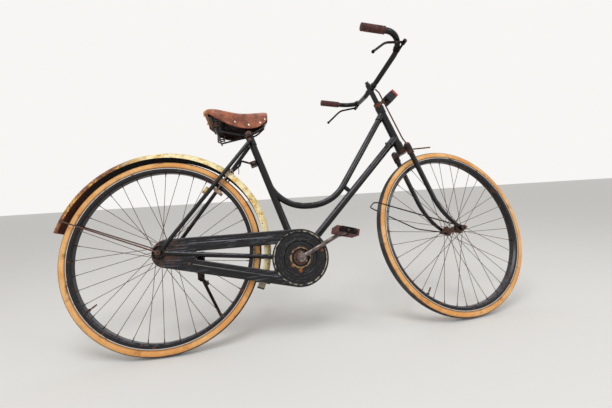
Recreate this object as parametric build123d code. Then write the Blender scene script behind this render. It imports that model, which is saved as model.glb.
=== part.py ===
from build123d import *
import math
import os

# An old step-through roadster bicycle, parked on its side stand, its front wheel turned a little
# to the left. It is modelled upright in its own frame, in millimetres: X forward, Y to its left,
# Z up, origin on the ground under the rear axle. Everything that steers is modelled about the
# steering axis and then turned. At the end the whole bicycle leans until both tyres and the
# stand's foot are on the ground.

# Driving sizes
wheel_radius = 350.0        # 28 inch wheel, over the tyre
tyre_width = 36.0
tyre_height = 26.0          # over the rim's edge
rim_edge_radius = wheel_radius - tyre_height
rim_width = 31.0
rim_depth = 18.0
rim_wall = 2.0
wheelbase = 1153.0
head_angle = 71.8           # steering axis, degrees from the ground
fork_offset = 57.0          # front axle ahead of the steering axis
steer_turn = 8.7            # front wheel to the left, degrees
lean = 13.0                 # parked lean to the left, degrees
bracket_forward = 491.0     # crank axle ahead of the rear axle
bracket_height = 291.0
seat_tube_length = 520.0
seat_tube_slope = 17.9      # degrees back from upright
main_tube_radius = 14.3
loop_tube_radius = 12.7
tube_wall = 1.5
stay_tube_radius = 8.0
seat_stay_radius = 7.5
rear_span = 120.0           # between the middles of the rear fork ends
front_span = 99.0           # between the middles of the front fork ends
fork_end_plate = 5.0
axle_radius = 5.0
lug_wall = 2.5
fit_gap = 0.3               # between pieces that are seated on each other
pin_gap = 0.05              # round a shaft that turns in its bore
swing_gap = 5.0             # between pieces that move past each other

# Stations along the steering axis, measured up from beside the front axle
crown_top = wheel_radius + 54.0
head_low = crown_top + 8.0
down_tube_station = head_low + 46.0
head_length = 196.0
head_high = head_low + head_length
loop_tube_station = head_high - 23.0
locknut_low = head_high + 10.0
locknut_height = 16.0
bar_station = locknut_low + 96.0
stem_top = bar_station + 34.0

head = math.radians(head_angle)
axis_up = Vector(-math.cos(head), 0, math.sin(head))
axis_forward = Vector(math.sin(head), 0, math.cos(head))
steer_origin = Vector(wheelbase, 0, wheel_radius) - axis_forward * fork_offset
steer_plane = Plane(origin=steer_origin, x_dir=axis_forward, z_dir=axis_up)
steered = steer_plane.location * Rotation(0, 0, steer_turn)

slope = math.radians(seat_tube_slope)
seat_up = Vector(-math.sin(slope), 0, math.cos(slope))
rear_axle_at = Vector(0, 0, wheel_radius)
bracket_at = Vector(bracket_forward, 0, bracket_height)
seat_top = bracket_at + seat_up * seat_tube_length

pieces = {}


def rod(start, end, radius, end_radius=None):
    """A round bar, or a cone, from one point to another."""
    start = Vector(start)
    end = Vector(end)
    run = end - start
    plane = Plane(origin=start, z_dir=run)
    if end_radius is None:
        return Solid.make_cylinder(radius, run.length, plane)
    return Solid.make_cone(radius, end_radius, run.length, plane)


def tube(start, end, radius, wall=tube_wall):
    """A straight tube with open ends."""
    run = (Vector(end) - Vector(start)).normalized()
    bore = rod(Vector(start) - run, Vector(end) + run, radius - wall)
    return rod(start, end, radius) - bore


def bent(points, radii, radius):
    """A round bar along straight runs joined by tangent arcs."""
    path = FilletPolyline(*[Vector(p) for p in points], radius=radii)
    return sweep(Plane(origin=path @ 0, z_dir=path % 0) * Circle(radius), path=path)


def turned(profile):
    """A body turned about the Y axis, from (radius, y) points."""
    return revolve(make_face(Polyline(*profile, close=True)), axis=Axis.Y)


def across(x, z, radius, low, high):
    """A round bar along Y."""
    return rod((x, low, z), (x, high, z), radius)


def plate(outline, low, high):
    """A flat sheet in the X-Z plane, from y = low to y = high."""
    face = make_face(Polyline(*[(x, low, z) for x, z in outline], close=True))
    return extrude(face, amount=high - low, dir=(0, 1, 0))


def hex_nut(x, z, low, high, across_flats, bore):
    """A nut on an axle along Y."""
    ring = Plane(origin=(x, low, z), z_dir=(0, 1, 0)) * RegularPolygon(across_flats / math.sqrt(3), 6)
    return extrude(ring, amount=high - low, dir=(0, 1, 0)) - across(x, z, bore, low - 1, high + 1)


def joined(*shapes):
    """The solids of several shapes fused into one."""
    total = shapes[0]
    for shape in shapes[1:]:
        total = total + shape
    return total


# Wheels, made about the origin with the axle along Y
spoke_count = 36
spoke_radius = 1.0
spoke_reach = 60.0          # degrees between a spoke's hub hole and its rim hole
spoke_head_offset = 2.7     # of a spoke's middle from its flange's middle
flange_width = 3.0
rim_step = 3.0
rim_floor = rim_edge_radius - rim_depth


tyre_side = tyre_width / 2
# drop from the tread, share of the half width
tyre_shape = [(0, 0.42), (6, 0.82), (17, 1.0)]
tyre_section = [(wheel_radius - drop, tyre_side * share) for drop, share in tyre_shape]


def make_rim():
    half = rim_width / 2
    inner = half - rim_wall
    outside = [(rim_edge_radius, half), (rim_floor + 5, half), (rim_floor, half - 6.5)]
    inside = [(rim_edge_radius, inner), (rim_floor + 5.8, inner), (rim_floor + rim_wall, half - 7.2)]
    right = [(r, -y) for r, y in outside[::-1]]
    back = [(r, -y) for r, y in inside]
    return turned(outside + right + back + inside[::-1])


def make_tyre():
    bead = rim_width / 2 - rim_wall - fit_gap
    half = tyre_section + [(rim_edge_radius + fit_gap, bead), (rim_floor + 6.3, bead)]
    return turned(half + [(r, -y) for r, y in half[::-1]])


def make_hub(right_flange, left_flange, flange_radius, barrel_radius, right_end, left_end, bore):
    half = flange_width / 2
    outline = [(bore, right_end), (bore + 5, right_end), (barrel_radius, right_flange - half)]
    outline += [(flange_radius, right_flange - half), (flange_radius, right_flange + half)]
    outline += [(barrel_radius, right_flange + half), (barrel_radius - 2, right_flange + 10)]
    outline += [(barrel_radius - 2, left_flange - 10), (barrel_radius, left_flange - half)]
    outline += [(flange_radius, left_flange - half), (flange_radius, left_flange + half)]
    outline += [(barrel_radius, left_flange + half), (bore + 5, left_end), (bore, left_end)]
    return turned(outline)


def make_spokes(right_flange, left_flange, flange_radius):
    circle = flange_radius - 3
    rim_end = rim_floor - fit_gap
    spokes = []
    for number in range(spoke_count):
        side = -1 if number % 2 == 0 else 1
        trailing = number % 4 < 2
        flange = right_flange if side < 0 else left_flange
        reach = math.radians(spoke_reach if trailing else -spoke_reach)
        at_rim = math.radians(number * 360 / spoke_count)
        outward = spoke_head_offset if trailing else -spoke_head_offset
        rim_y = side * (rim_step + 0.5 if trailing else 0.5 * spoke_radius + 0.7)
        start = (circle * math.cos(at_rim + reach), flange + side * outward, circle * math.sin(at_rim + reach))
        end = (rim_end * math.cos(at_rim), rim_y, rim_end * math.sin(at_rim))
        spokes.append(rod(start, end, spoke_radius))
    return Compound(children=spokes)


rear_right_flange = -23.0
rear_left_flange = 30.0
rear_flange_radius = 27.0
rear_barrel_radius = 19.0
rear_hub_right = -47.0
rear_hub_left = 50.0
front_flange = 33.0
front_flange_radius = 21.0
front_barrel_radius = 14.0
front_hub_half = 42.0
hub_bore = axle_radius + pin_gap
rear_at = Pos(*rear_axle_at)
front_at = Pos(fork_offset, 0, 0)

pieces["rear_tyre"] = rear_at * make_tyre()
pieces["rear_rim"] = rear_at * make_rim()
pieces["rear_spokes"] = rear_at * make_spokes(rear_right_flange, rear_left_flange, rear_flange_radius)
pieces["rear_hub"] = rear_at * make_hub(
    rear_right_flange, rear_left_flange, rear_flange_radius, rear_barrel_radius,
    rear_hub_right, rear_hub_left, hub_bore)
pieces["front_tyre"] = steered * front_at * make_tyre()
pieces["front_rim"] = steered * front_at * make_rim()
pieces["front_spokes"] = steered * front_at * make_spokes(-front_flange, front_flange, front_flange_radius)
pieces["front_hub"] = steered * front_at * make_hub(
    -front_flange, front_flange, front_flange_radius, front_barrel_radius,
    -front_hub_half, front_hub_half, hub_bore)


# Frame tubes and the sockets that hold them
shell_radius = 20.0
shell_half = 34.0
head_radius = 16.0
head_bore = 13.5
socket_length = 26.0
down_join = steer_origin + axis_up * down_tube_station
loop_join = steer_origin + axis_up * loop_tube_station
down_run = (down_join - bracket_at).normalized()


def along_head(station):
    return steer_origin + axis_up * station


# The loop tube falls straight from the head, turns level and rises to the seat tube. Its two
# bends share the level run, and the rear one is kept within the rise too.
loop_bottom = bracket_height + 202.0
loop_fall_angle = 55.67     # degrees below level
seat_join_height = bracket_height + 349.0
loop_front_share = 0.416    # of the level run that each bend takes
loop_back_share = 0.518
loop_rise_share = 0.74
fall = math.radians(loop_fall_angle)
loop_fall = Vector(-math.cos(fall), 0, -math.sin(fall))


def at_height(point, run, height):
    return point + run * ((height - point.Z) / run.Z)


loop_low_front = at_height(loop_join, loop_fall, loop_bottom)
loop_low_back = at_height(bracket_at, seat_up, loop_bottom)
loop_end = at_height(bracket_at, seat_up, seat_join_height)
loop_points = [loop_join, loop_low_front, loop_low_back, loop_end]
loop_level = (loop_low_front - loop_low_back).length
loop_front_radius = loop_level * loop_front_share / math.tan(fall / 2)
loop_rise = (loop_end - loop_low_back).length
loop_back_run = min(loop_level * loop_back_share, loop_rise * loop_rise_share)
loop_back_radius = loop_back_run / math.tan((math.pi / 2 - slope) / 2)
loop_radii = [loop_front_radius, loop_back_radius]

shell_space = across(bracket_forward, bracket_height, shell_radius, -shell_half, shell_half)
head_space = rod(along_head(head_low - 60), along_head(head_high + 60), head_radius)
seat_space = rod(bracket_at, seat_top, main_tube_radius)

pieces["seat_tube"] = tube(bracket_at, seat_top, main_tube_radius) - shell_space
pieces["down_tube"] = tube(bracket_at, down_join, main_tube_radius) - shell_space - head_space - seat_space
loop_outer = bent(loop_points, loop_radii, loop_tube_radius)
loop_inner = bent(loop_points, loop_radii, loop_tube_radius - tube_wall)
pieces["loop_tube"] = (loop_outer - loop_inner) - head_space - seat_space

# A short strut ties the two long tubes together
strut_radius = 9.0
strut_share = 0.515         # of the way up the down tube from the crank axle
strut_reach = 60.0          # past the loop tube's middle, then cut back to the loop tube
strut_low = bracket_at + (down_join - bracket_at) * strut_share
strut_up = Vector(-down_run.Z, 0, down_run.X)
strut = rod(strut_low, strut_low + strut_up * strut_reach, strut_radius)
strut -= rod(bracket_at, down_join, main_tube_radius) + loop_outer
pieces["tube_strut"] = strut.solids().sort_by_distance(strut_low)[0]

# Head tube with its two sockets and the bearing cups
cup_radius = 19.0
head_body = rod(along_head(head_low), along_head(head_high), head_radius)
lower_lug = rod(along_head(head_low), along_head(head_low + 22), head_radius + lug_wall)
upper_lug = rod(along_head(head_high - 22), along_head(head_high), head_radius + lug_wall)
down_socket = rod(down_join, down_join - down_run * (head_radius + socket_length), main_tube_radius + lug_wall)
loop_socket = rod(loop_join, loop_join + loop_fall * (head_radius + socket_length), loop_tube_radius + lug_wall)
head_bar = rod(along_head(head_low - 1), along_head(head_high + 1), head_bore)
lugged = joined(head_body, lower_lug, upper_lug, down_socket, loop_socket)
tube_holes = rod(down_join, bracket_at, main_tube_radius) + rod(
    loop_join, loop_join + loop_fall * 90, loop_tube_radius)
pieces["head_tube"] = (lugged - (tube_holes - head_space)) - head_bar
cups = joined(
    rod(along_head(crown_top + 1), along_head(head_low - 0.0), cup_radius),
    rod(along_head(head_high), along_head(locknut_low - 1), cup_radius))
pieces["head_cups"] = cups - rod(along_head(crown_top), along_head(locknut_low), head_bore)

# Crank bearing shell with sockets
axle_boss = 8.0             # crank axle radius
shell = across(bracket_forward, bracket_height, shell_radius, -shell_half, shell_half)
seat_socket = rod(bracket_at, bracket_at + seat_up * (shell_radius + socket_length), main_tube_radius + lug_wall)
down_shell_socket = rod(bracket_at, bracket_at + down_run * (shell_radius + socket_length),
                        main_tube_radius + lug_wall)
shell_tubes = joined(
    rod(bracket_at, seat_top, main_tube_radius), rod(bracket_at, down_join, main_tube_radius)) - shell
shell_body = joined(shell, seat_socket, down_shell_socket) - shell_tubes
hollow = across(bracket_forward, bracket_height, shell_radius - 4, -shell_half + 9, shell_half - 9)
axle_way = across(bracket_forward, bracket_height, axle_boss + pin_gap, -shell_half - 1, shell_half + 1)
pieces["crank_shell"] = shell_body - hollow - axle_way

# Chain stays and seat stays, a pair each, cut where they meet what holds them
chain_stay_front = 24.0     # half the spread of the chain stays at the shell
seat_stay_top = 22.5        # half the spread of the seat stays at the seat lug
seat_stay_drop = 14.0       # of the stays' heads below the seat tube's top
seat_stay_back = 7.0        # of the stays' heads behind the seat tube's middle line
stay_start = 20.0           # from the rear axle to the stays' ends
plate_half = fork_end_plate / 2
end_y = rear_span / 2
seat_back = Vector(-seat_up.Z, 0, seat_up.X)
seat_stay_head = seat_top - seat_up * seat_stay_drop + seat_back * seat_stay_back


def chain_stay_line(side):
    front = Vector(bracket_forward, side * chain_stay_front, bracket_height)
    back = Vector(0, side * end_y, wheel_radius)
    return back, front


def seat_stay_line(side):
    return Vector(0, side * end_y, wheel_radius), seat_stay_head + Vector(0, side * seat_stay_top, 0)


def fork_end(side):
    """The flat rear end that carries the axle, with an arm to each stay."""
    low = side * end_y - plate_half
    high = side * end_y + plate_half
    back, front = chain_stay_line(side)
    _, top = seat_stay_line(side)
    arms = []
    for target in (front, top):
        run = Vector(target.X - back.X, 0, target.Z - back.Z).normalized()
        wide = Vector(-run.Z, 0, run.X) * 6.0
        tip = back + run * 42.0
        corners = [back - wide, back + wide, tip + wide, tip - wide]
        arms.append(plate([(p.X, p.Z) for p in corners], low, high))
    disc = across(0, wheel_radius, 17.0, low, high)
    hole = across(0, wheel_radius, axle_radius + fit_gap, low - 1, high + 1)
    return joined(disc, *arms) - hole


def side_pair(make):
    return Compound(children=[make(-1), make(1)])


def chain_stay(side):
    back, front = chain_stay_line(side)
    run = (front - back).normalized()
    bar = rod(back + run * stay_start, front, stay_tube_radius)
    return (bar - fork_end(side) - shell_space).solids().sort_by(SortBy.VOLUME)[-1]


def seat_stay(side):
    back, top = seat_stay_line(side)
    run = (top - back).normalized()
    bar = rod(back + run * (stay_start + 6), top, seat_stay_radius)
    return (bar - fork_end(side) - chain_stay(side)).solids().sort_by(SortBy.VOLUME)[-1]


fork_ends = side_pair(fork_end)
chain_stays = side_pair(chain_stay)
seat_stays = side_pair(seat_stay)
pieces["rear_fork_ends"] = fork_ends
pieces["chain_stays"] = chain_stays
pieces["seat_stays"] = seat_stays

# Seat lug: a sleeve on the seat tube, with an eye for each seat stay and the pinch bolt
lug_rise = 8.0              # of the lug above the seat tube's top
lug_sleeve = rod(seat_top - seat_up * 30, seat_top + seat_up * lug_rise, main_tube_radius + lug_wall)
lug_bolt = rod(seat_stay_head - Vector(0, seat_stay_top + 9, 0), seat_stay_head + Vector(0, seat_stay_top + 9, 0), 4.0)
lug_ears = rod(seat_stay_head - Vector(0, seat_stay_top + 4, 0), seat_stay_head + Vector(0, seat_stay_top + 4, 0), 9.0)
lug_space = rod(seat_top - seat_up * 60, seat_top, main_tube_radius) + rod(
    seat_top, seat_top + seat_up * 20, main_tube_radius - tube_wall)
pieces["seat_lug"] = joined(lug_sleeve, lug_ears, lug_bolt) - lug_space - seat_stays

# Bridge between the seat stays, which also carries the mudguard
guard_radius = wheel_radius + 37.0
guard_half_width = 29.0
guard_wall = 1.5
guard_front_angle = -16.0   # degrees from level, ahead of the axle
guard_tail_angle = 164.5
guard_crown = 26.0          # depth of the section, from its top to its edges
bridge_radius = 5.0
bridge_reach = guard_radius + bridge_radius + fit_gap


def point_at_reach(line, reach):
    """The point of a stay's middle line at a distance from the rear axle, seen from the side."""
    back, front = line
    run = front - back
    return back + run * (reach / math.hypot(run.X, run.Z))


bridge_at = point_at_reach(seat_stay_line(1), bridge_reach)
stay_bridge = across(bridge_at.X, bridge_at.Z, bridge_radius, -bridge_at.Y, bridge_at.Y)
pieces["stay_bridge"] = (stay_bridge - seat_stays).solids().sort_by(SortBy.VOLUME)[-1]

# A second bridge, between the chain stays, in front of the mudguard
chain_bridge_at = point_at_reach(chain_stay_line(1), bridge_reach)
chain_bridge = across(chain_bridge_at.X, chain_bridge_at.Z, bridge_radius, -chain_bridge_at.Y, chain_bridge_at.Y)
pieces["chain_stay_bridge"] = (chain_bridge - chain_stays).solids().sort_by(SortBy.VOLUME)[-1]

# Rear mudguard: a curved strip, domed across, notched where the stays pass


def guard_section(radius, half_width, crown):
    edge = radius - crown
    arc = ThreePointArc((edge, -half_width), (radius, 0), (edge, half_width))
    return arc


outer_arc = guard_section(guard_radius, guard_half_width, guard_crown)
inner_arc = guard_section(guard_radius - guard_wall, guard_half_width - guard_wall, guard_crown - guard_wall)
guard_face = make_face([
    outer_arc, Line(outer_arc @ 1, inner_arc @ 1), inner_arc, Line(inner_arc @ 0, outer_arc @ 0)])
guard_sweep = guard_tail_angle - guard_front_angle
guard_ring = revolve(guard_face, axis=Axis.Y, revolution_arc=-guard_sweep)
guard_ring = rear_at * Rotation(0, -guard_front_angle, 0) * guard_ring


def stay_clearance(side):
    back, front = chain_stay_line(side)
    seat_back, seat_front = seat_stay_line(side)
    return joined(
        rod(back, front, stay_tube_radius + fit_gap), rod(seat_back, seat_front, seat_stay_radius + fit_gap))


pieces["rear_mudguard"] = guard_ring - stay_clearance(-1) - stay_clearance(1)

# Rear axle, fixed in the frame, with a cone inside and a nut outside each fork end
axle_half = 86.0
nut_width = 8.0
nut_flats = 17.0
wire_radius = 2.5
end_outside = end_y + plate_half
nut_start = end_outside + 2 * wire_radius + 2 * fit_gap
rear_axle = across(0, wheel_radius, axle_radius, -axle_half, axle_half)
cones = joined(
    across(0, wheel_radius, 9.0, -end_y + plate_half, rear_hub_right - fit_gap),
    rear_axle,
    across(0, wheel_radius, 9.0, rear_hub_left + fit_gap, end_y - plate_half))
rear_nuts = [
    hex_nut(0, wheel_radius, -nut_start - nut_width, -nut_start, nut_flats, axle_radius - 1),
    hex_nut(0, wheel_radius, nut_start, nut_start + nut_width, nut_flats, axle_radius - 1)]
pieces["rear_axle"] = joined(cones, *rear_nuts)

# Wire stays from the axle to the mudguard's edges near its tail
guard_stay_angle = math.radians(157.5)
stay_eye_radius = 9.0
stay_eye_half = 1.9
guard_stay_lap = 3.0        # how far a stay runs up the mudguard's side


def guard_stay(side):
    y = side * (end_outside + wire_radius + fit_gap)
    reach = guard_radius - guard_crown + guard_stay_lap
    tip = Vector(reach * math.cos(guard_stay_angle), side * (guard_half_width + wire_radius + fit_gap),
                 wheel_radius + reach * math.sin(guard_stay_angle))
    eye = across(0, wheel_radius, stay_eye_radius, y - stay_eye_half, y + stay_eye_half)
    eye -= across(0, wheel_radius, axle_radius + fit_gap, y - 9, y + 9)
    run = Vector(tip.X, 0, tip.Z - wheel_radius).normalized()
    start = Vector(0, y, wheel_radius) + run * (stay_eye_radius - 1)
    knee = Vector(0, y, wheel_radius) + run * 34
    return joined(eye, bent([start, knee, tip], [60], wire_radius))


pieces["mudguard_stays"] = side_pair(guard_stay)


# Chain case: two arms between a small rear and a large front circle, with a slot for the stay
case_inside = -37.0
case_outside = -56.0
case_wall = 2.0
case_edge = 4.0             # rounding of the case's outer edges
case_rear_x = 22.0
case_rear_z = wheel_radius - 4.0
case_rear_radius = 50.0
case_front_radius = 106.0
disc_radius = 99.0
# share of the way from the rear circle to the crank axle, rise above the line between them
slit_table = [(0.209, 11.5), (0.209, -17.5), (0.8145, -52.2), (0.8316, 46.7)]
rib_table = [((0.16, 33.5), (0.79, 69.0)), ((0.19, -38.5), (0.80, -75.0))]
rib_radius = 9.0
rib_height = 2.0


def along_case(share, rise):
    x = case_rear_x + (bracket_forward - case_rear_x) * share
    return x, case_rear_z + (bracket_height - case_rear_z) * share + rise


slit = [along_case(share, rise) for share, rise in slit_table]


def case_outline(inset, low, high):
    front = across(bracket_forward, bracket_height, case_front_radius - inset, low, high)
    back = across(case_rear_x, case_rear_z, case_rear_radius - inset, low, high)
    gap = Vector(bracket_forward - case_rear_x, 0, bracket_height - case_rear_z)
    spread = math.asin((case_front_radius - case_rear_radius) / gap.length)
    base = math.atan2(gap.Z, gap.X)
    corners = []
    for side in (1, -1):
        normal = base + side * (math.pi / 2 + spread)
        nx = math.cos(normal)
        nz = math.sin(normal)
        r_back = case_rear_radius - inset
        r_front = case_front_radius - inset
        ends = [(case_rear_x + r_back * nx, case_rear_z + r_back * nz),
                (bracket_forward + r_front * nx, bracket_height + r_front * nz)]
        corners += ends if side == 1 else ends[::-1]
    return joined(plate(corners, low, high), front, back)


def case_slit(grow, low, high):
    centre_x = sum(x for x, _ in slit) / len(slit)
    centre_z = sum(z for _, z in slit) / len(slit)
    outline = []
    for x, z in slit:
        step_x = grow if x > centre_x else -grow
        step_z = grow if z > centre_z else -grow
        outline.append((x + step_x, z + step_z))
    front = across(bracket_forward, bracket_height, disc_radius + 5 - grow, low - 1, high + 1)
    return plate(outline, low - 1, high + 1) - front


case_solid = case_outline(0, case_outside, case_inside) - case_slit(0, case_outside, case_inside)
case_rims = case_solid.faces().sort_by(Axis.Y)[0].edges()
case_solid = fillet(case_rims, case_edge)
for rear, front in rib_table:
    ends = []
    for share, rise in (rear, front):
        x, z = along_case(share, rise)
        ends.append(Vector(x, case_outside + rib_radius - rib_height, z))
    rib = rod(ends[0], ends[1], rib_radius)
    case_solid = joined(case_solid, rib, *[Pos(*end) * Sphere(rib_radius) for end in ends])
case_space = case_outline(case_wall, case_outside + case_wall, case_inside - case_wall) - case_slit(
    case_wall, case_outside + case_wall, case_inside - case_wall)
axle_hole = across(0, wheel_radius, rear_barrel_radius + swing_gap, case_outside - 1, case_inside + 1)
boss_hole_radius = 33.0
boss_hole = across(bracket_forward, bracket_height, boss_hole_radius, case_outside - 1, case_inside - 5)
shaft_hole = across(bracket_forward, bracket_height, shell_radius, case_inside - 5, case_inside + 1)
case_body = case_solid - case_space - axle_hole - boss_hole - shaft_hole - stay_clearance(-1)
pieces["chain_case"] = case_body.solids().sort_by(SortBy.VOLUME)[-1]

# The round cover on the case, with raised beads
bead_height = 2.0
disc_wall = 2.0
disc_face = case_outside - disc_wall
cover = [(boss_hole_radius, 0), (disc_radius, 0), (disc_radius, -disc_wall - bead_height)]
cover += [(disc_radius - 5, -disc_wall - bead_height), (disc_radius - 7, -disc_wall)]
cover += [(70, -disc_wall), (67, -disc_wall - bead_height), (62, -disc_wall - bead_height), (59, -disc_wall)]
cover += [(boss_hole_radius + 5, -disc_wall), (boss_hole_radius + 3, -disc_wall - bead_height)]
cover += [(boss_hole_radius, -disc_wall - bead_height)]
pieces["chain_case_disc"] = Pos(bracket_forward, case_outside, bracket_height) * turned(cover)


# Cranks: the axle, and on each end an arm with its cotter
crank_length = 170.0
crank_rise = 25.5           # degrees above level, right crank pointing forward
crank_y = 77.0
crank_boss = 17.0
crank_boss_half = 11.0
cotter_radius = 4.8


def crank_axis(side):
    turn = math.radians(crank_rise)
    length = -side * crank_length
    return Vector(bracket_forward + length * math.cos(turn), 0, bracket_height + length * math.sin(turn))


def crank_arm(side):
    pedal_centre = crank_axis(side)
    y = side * crank_y
    boss = across(bracket_forward, bracket_height, crank_boss, y - crank_boss_half, y + crank_boss_half)
    eye = across(pedal_centre.X, pedal_centre.Z, 11.0, y - 7, y + 7)
    run = Vector(pedal_centre.X - bracket_forward, 0, pedal_centre.Z - bracket_height).normalized()
    start = Vector(bracket_forward, y, bracket_height)
    arm = rod(start, start + run * crank_length, 9.0, 7.0)
    cross = Vector(-run.Z, 0, run.X)
    pin_middle = start + run * 9.0
    cotter = rod(pin_middle - cross * 23, pin_middle + cross * 21, cotter_radius)
    thread = across(pedal_centre.X, pedal_centre.Z, 6.0 + fit_gap, y - 9, y + 9)
    bore = across(bracket_forward, bracket_height, axle_boss, y - 20, y + 20)
    return (joined(boss, eye, arm) - thread - bore) + (cotter - bore)


pieces["crank_axle"] = across(bracket_forward, bracket_height, axle_boss, -crank_y - 12, crank_y + 12)
pieces["right_crank"] = crank_arm(-1)
pieces["left_crank"] = crank_arm(1)

# The chain wheel's boss shows in the middle of the case's cover
wheel_boss = across(bracket_forward, bracket_height, 26.0, case_outside + 6, case_outside)
pieces["chain_wheel_boss"] = wheel_boss - across(bracket_forward, bracket_height, axle_boss, case_outside, case_inside)


# Pedals: a spindle fixed in the crank's eye, two end plates and two rubber blocks
pedal_inner = 95.0
pedal_width = 98.0
block_height = 22.0
block_depth = 30.0
pedal_barrel_radius = 9.0
pedal_plate = 3.0
pedal_plate_half = 31.0
block_spread = pedal_barrel_radius + fit_gap + block_depth / 2
pedal_tilt = 15.0           # degrees, front edge down


def pedal(side):
    low = min(side * pedal_inner, side * (pedal_inner + pedal_width))
    high = low + pedal_width
    spindle_low = min(side * (crank_y - 8), side * (pedal_inner + pedal_width + 4))
    spindle_high = max(side * (crank_y - 8), side * (pedal_inner + pedal_width + 4))
    barrel = rod((0, low, 0), (0, high, 0), pedal_barrel_radius)
    spindle = rod((0, spindle_low, 0), (0, spindle_high, 0), 6.0)
    half = pedal_plate_half
    flat = half - 6
    outline = [(-half, -5), (-flat, -11), (flat, -11), (half, -5), (half, 5), (flat, 11), (-flat, 11), (-half, 5)]
    ends = [plate(outline, low, low + pedal_plate), plate(outline, high - pedal_plate, high)]
    steel = joined(barrel, spindle, *ends)
    blocks = []
    for offset in (-block_spread, block_spread):
        block = Box(block_depth, pedal_width - 2 * (pedal_plate + fit_gap), block_height)
        blocks.append(Pos(offset, (low + high) / 2, 0) * block)
    place = Pos(*crank_axis(side)) * Rotation(0, pedal_tilt, 0)
    return place * steel, place * Compound(children=blocks)


pieces["right_pedal_frame"], pieces["right_pedal_blocks"] = pedal(-1)
pieces["left_pedal_frame"], pieces["left_pedal_blocks"] = pedal(1)


# Seat post and saddle
post_radius = main_tube_radius - tube_wall - pin_gap
post_depth = 60.0           # of the post inside the seat tube
clamp_rise = 17.0           # of the saddle clamp above the seat tube's top
clamp_radius = 11.0
clamp_half = 27.0
clamp_core_radius = 17.0
clamp_core_height = 14.0
clamp_at = seat_top + seat_up * clamp_rise
leather = 4.0
saddle_x = round(seat_top.X)
saddle_z = round(seat_top.Z)
# x from the seat tube's top, half width, top height, skirt height at the edge
saddle_table = [
    (-175, 58, 98, 82),
    (-157, 86, 102, 76),
    (-135, 99, 104, 58),
    (-109, 97, 103, 42),
    (-69, 74, 103, 29),
    (-17, 45, 107, 29),
    (37, 28, 115, 41),
    (74, 15, 117, 78),
]
skirt_share = 0.5           # of the leather's depth that is upright at the edges


def saddle_section(x, half, top, skirt, inset):
    x += saddle_x
    half -= inset
    top += saddle_z - inset
    skirt += saddle_z
    shoulder = skirt + (top - skirt) * skirt_share
    arc = ThreePointArc((x, -half, shoulder), (x, 0, top), (x, half, shoulder))
    base = skirt - inset
    outline = [Line((x, -half, base), (x, -half, shoulder)), arc,
               Line((x, half, shoulder), (x, half, base)), Line((x, half, base), (x, -half, base))]
    return make_face(outline)


def saddle_form(inset, trim):
    sections = []
    for number, (x, half, top, skirt) in enumerate(saddle_table):
        if number == 0:
            x += trim
        if number == len(saddle_table) - 1:
            x -= trim
        sections.append(saddle_section(x, half, top, skirt, inset))
    return loft(sections)


pieces["saddle_leather"] = saddle_form(0, 0) - saddle_form(leather, leather)
pieces["seat_post"] = rod(seat_top - seat_up * post_depth, clamp_at, post_radius)

# Saddle frame: a pair of rails from the nose past the clamp to the foot of each spring, a bar
# across the springs' feet, a plate on their heads and an upright wall under the rear rivets
rail_radius = 3.5
rail_y = 17.0
spring_x = saddle_x - 125.0
spring_y = 62.0
spring_radius = 17.0
spring_rib = 2.0
spring_low = saddle_z + 17.0
spring_high = spring_low + 46.0
spring_turns = 5
head_plate_low = spring_high + 1.0
head_plate_thick = 3.0
head_plate_back = spring_x - 28.0
head_plate_front = spring_x + 18.0
head_plate_side = 76.0
rear_wall_thick = 7.0
nose_x = saddle_x + 59.0
nose_y = 9.0
nose_low = saddle_z + 52.0
nose_size = (18.0, 40.0, 60.0)
foot_bar_half = 78.0


def spring(side):
    """A coil spring, drawn as a sleeve with a rounded rib for each turn."""
    pitch = (spring_high - spring_low) / spring_turns
    core = spring_radius - spring_rib
    profile = [(core - 3, 0)]
    for turn in range(spring_turns):
        base = turn * pitch
        profile += [(core, base), (spring_radius, base + pitch * 0.25)]
        profile += [(spring_radius, base + pitch * 0.6), (core, base + pitch * 0.85)]
    profile += [(core, spring_turns * pitch), (core - 3, spring_turns * pitch)]
    return Pos(spring_x, side * spring_y, spring_low) * Rotation(90, 0, 0) * turned(profile)


pieces["saddle_springs"] = side_pair(spring)
rail_foot = spring_low - rail_radius - fit_gap


def rail(side):
    nose = Vector(nose_x, side * nose_y, nose_low)
    front = clamp_at + Vector(28, side * rail_y, 5)
    back = clamp_at + Vector(-28, side * rail_y, -3)
    rear = Vector(spring_x, side * spring_y, rail_foot)
    return bent([nose, front, back, rear], [60, 40], rail_radius)


under_leather = saddle_form(leather + fit_gap, leather + fit_gap)
nose_block = Pos(nose_x, 0, nose_low + nose_size[2] / 2) * Box(*nose_size) & under_leather
foot_bar = rod((spring_x, -foot_bar_half, rail_foot), (spring_x, foot_bar_half, rail_foot), rail_radius)
spring_seats = [
    rod((spring_x, side * spring_y, spring_high + fit_gap), (spring_x, side * spring_y, head_plate_low + 1), spring_radius)
    for side in (-1, 1)]
head_plate = plate(
    [(head_plate_back, head_plate_low), (head_plate_front, head_plate_low),
     (head_plate_front, head_plate_low + head_plate_thick), (head_plate_back, head_plate_low + head_plate_thick)],
    -head_plate_side, head_plate_side)
rear_wall = plate(
    [(head_plate_back, head_plate_low), (head_plate_back + rear_wall_thick, head_plate_low),
     (head_plate_back + rear_wall_thick, head_plate_low + 60), (head_plate_back, head_plate_low + 60)],
    -head_plate_side, head_plate_side) & under_leather
pieces["saddle_frame"] = joined(rail(-1), rail(1), foot_bar, nose_block)
pieces["saddle_rear_plate"] = joined(head_plate, rear_wall, *spring_seats)
clamp_bar = rod(clamp_at + Vector(0, -clamp_half, 0), clamp_at + Vector(0, clamp_half, 0), clamp_radius)
clamp_core = rod(seat_top + seat_up * (lug_rise + fit_gap), clamp_at + seat_up * clamp_core_height, clamp_core_radius)
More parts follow.
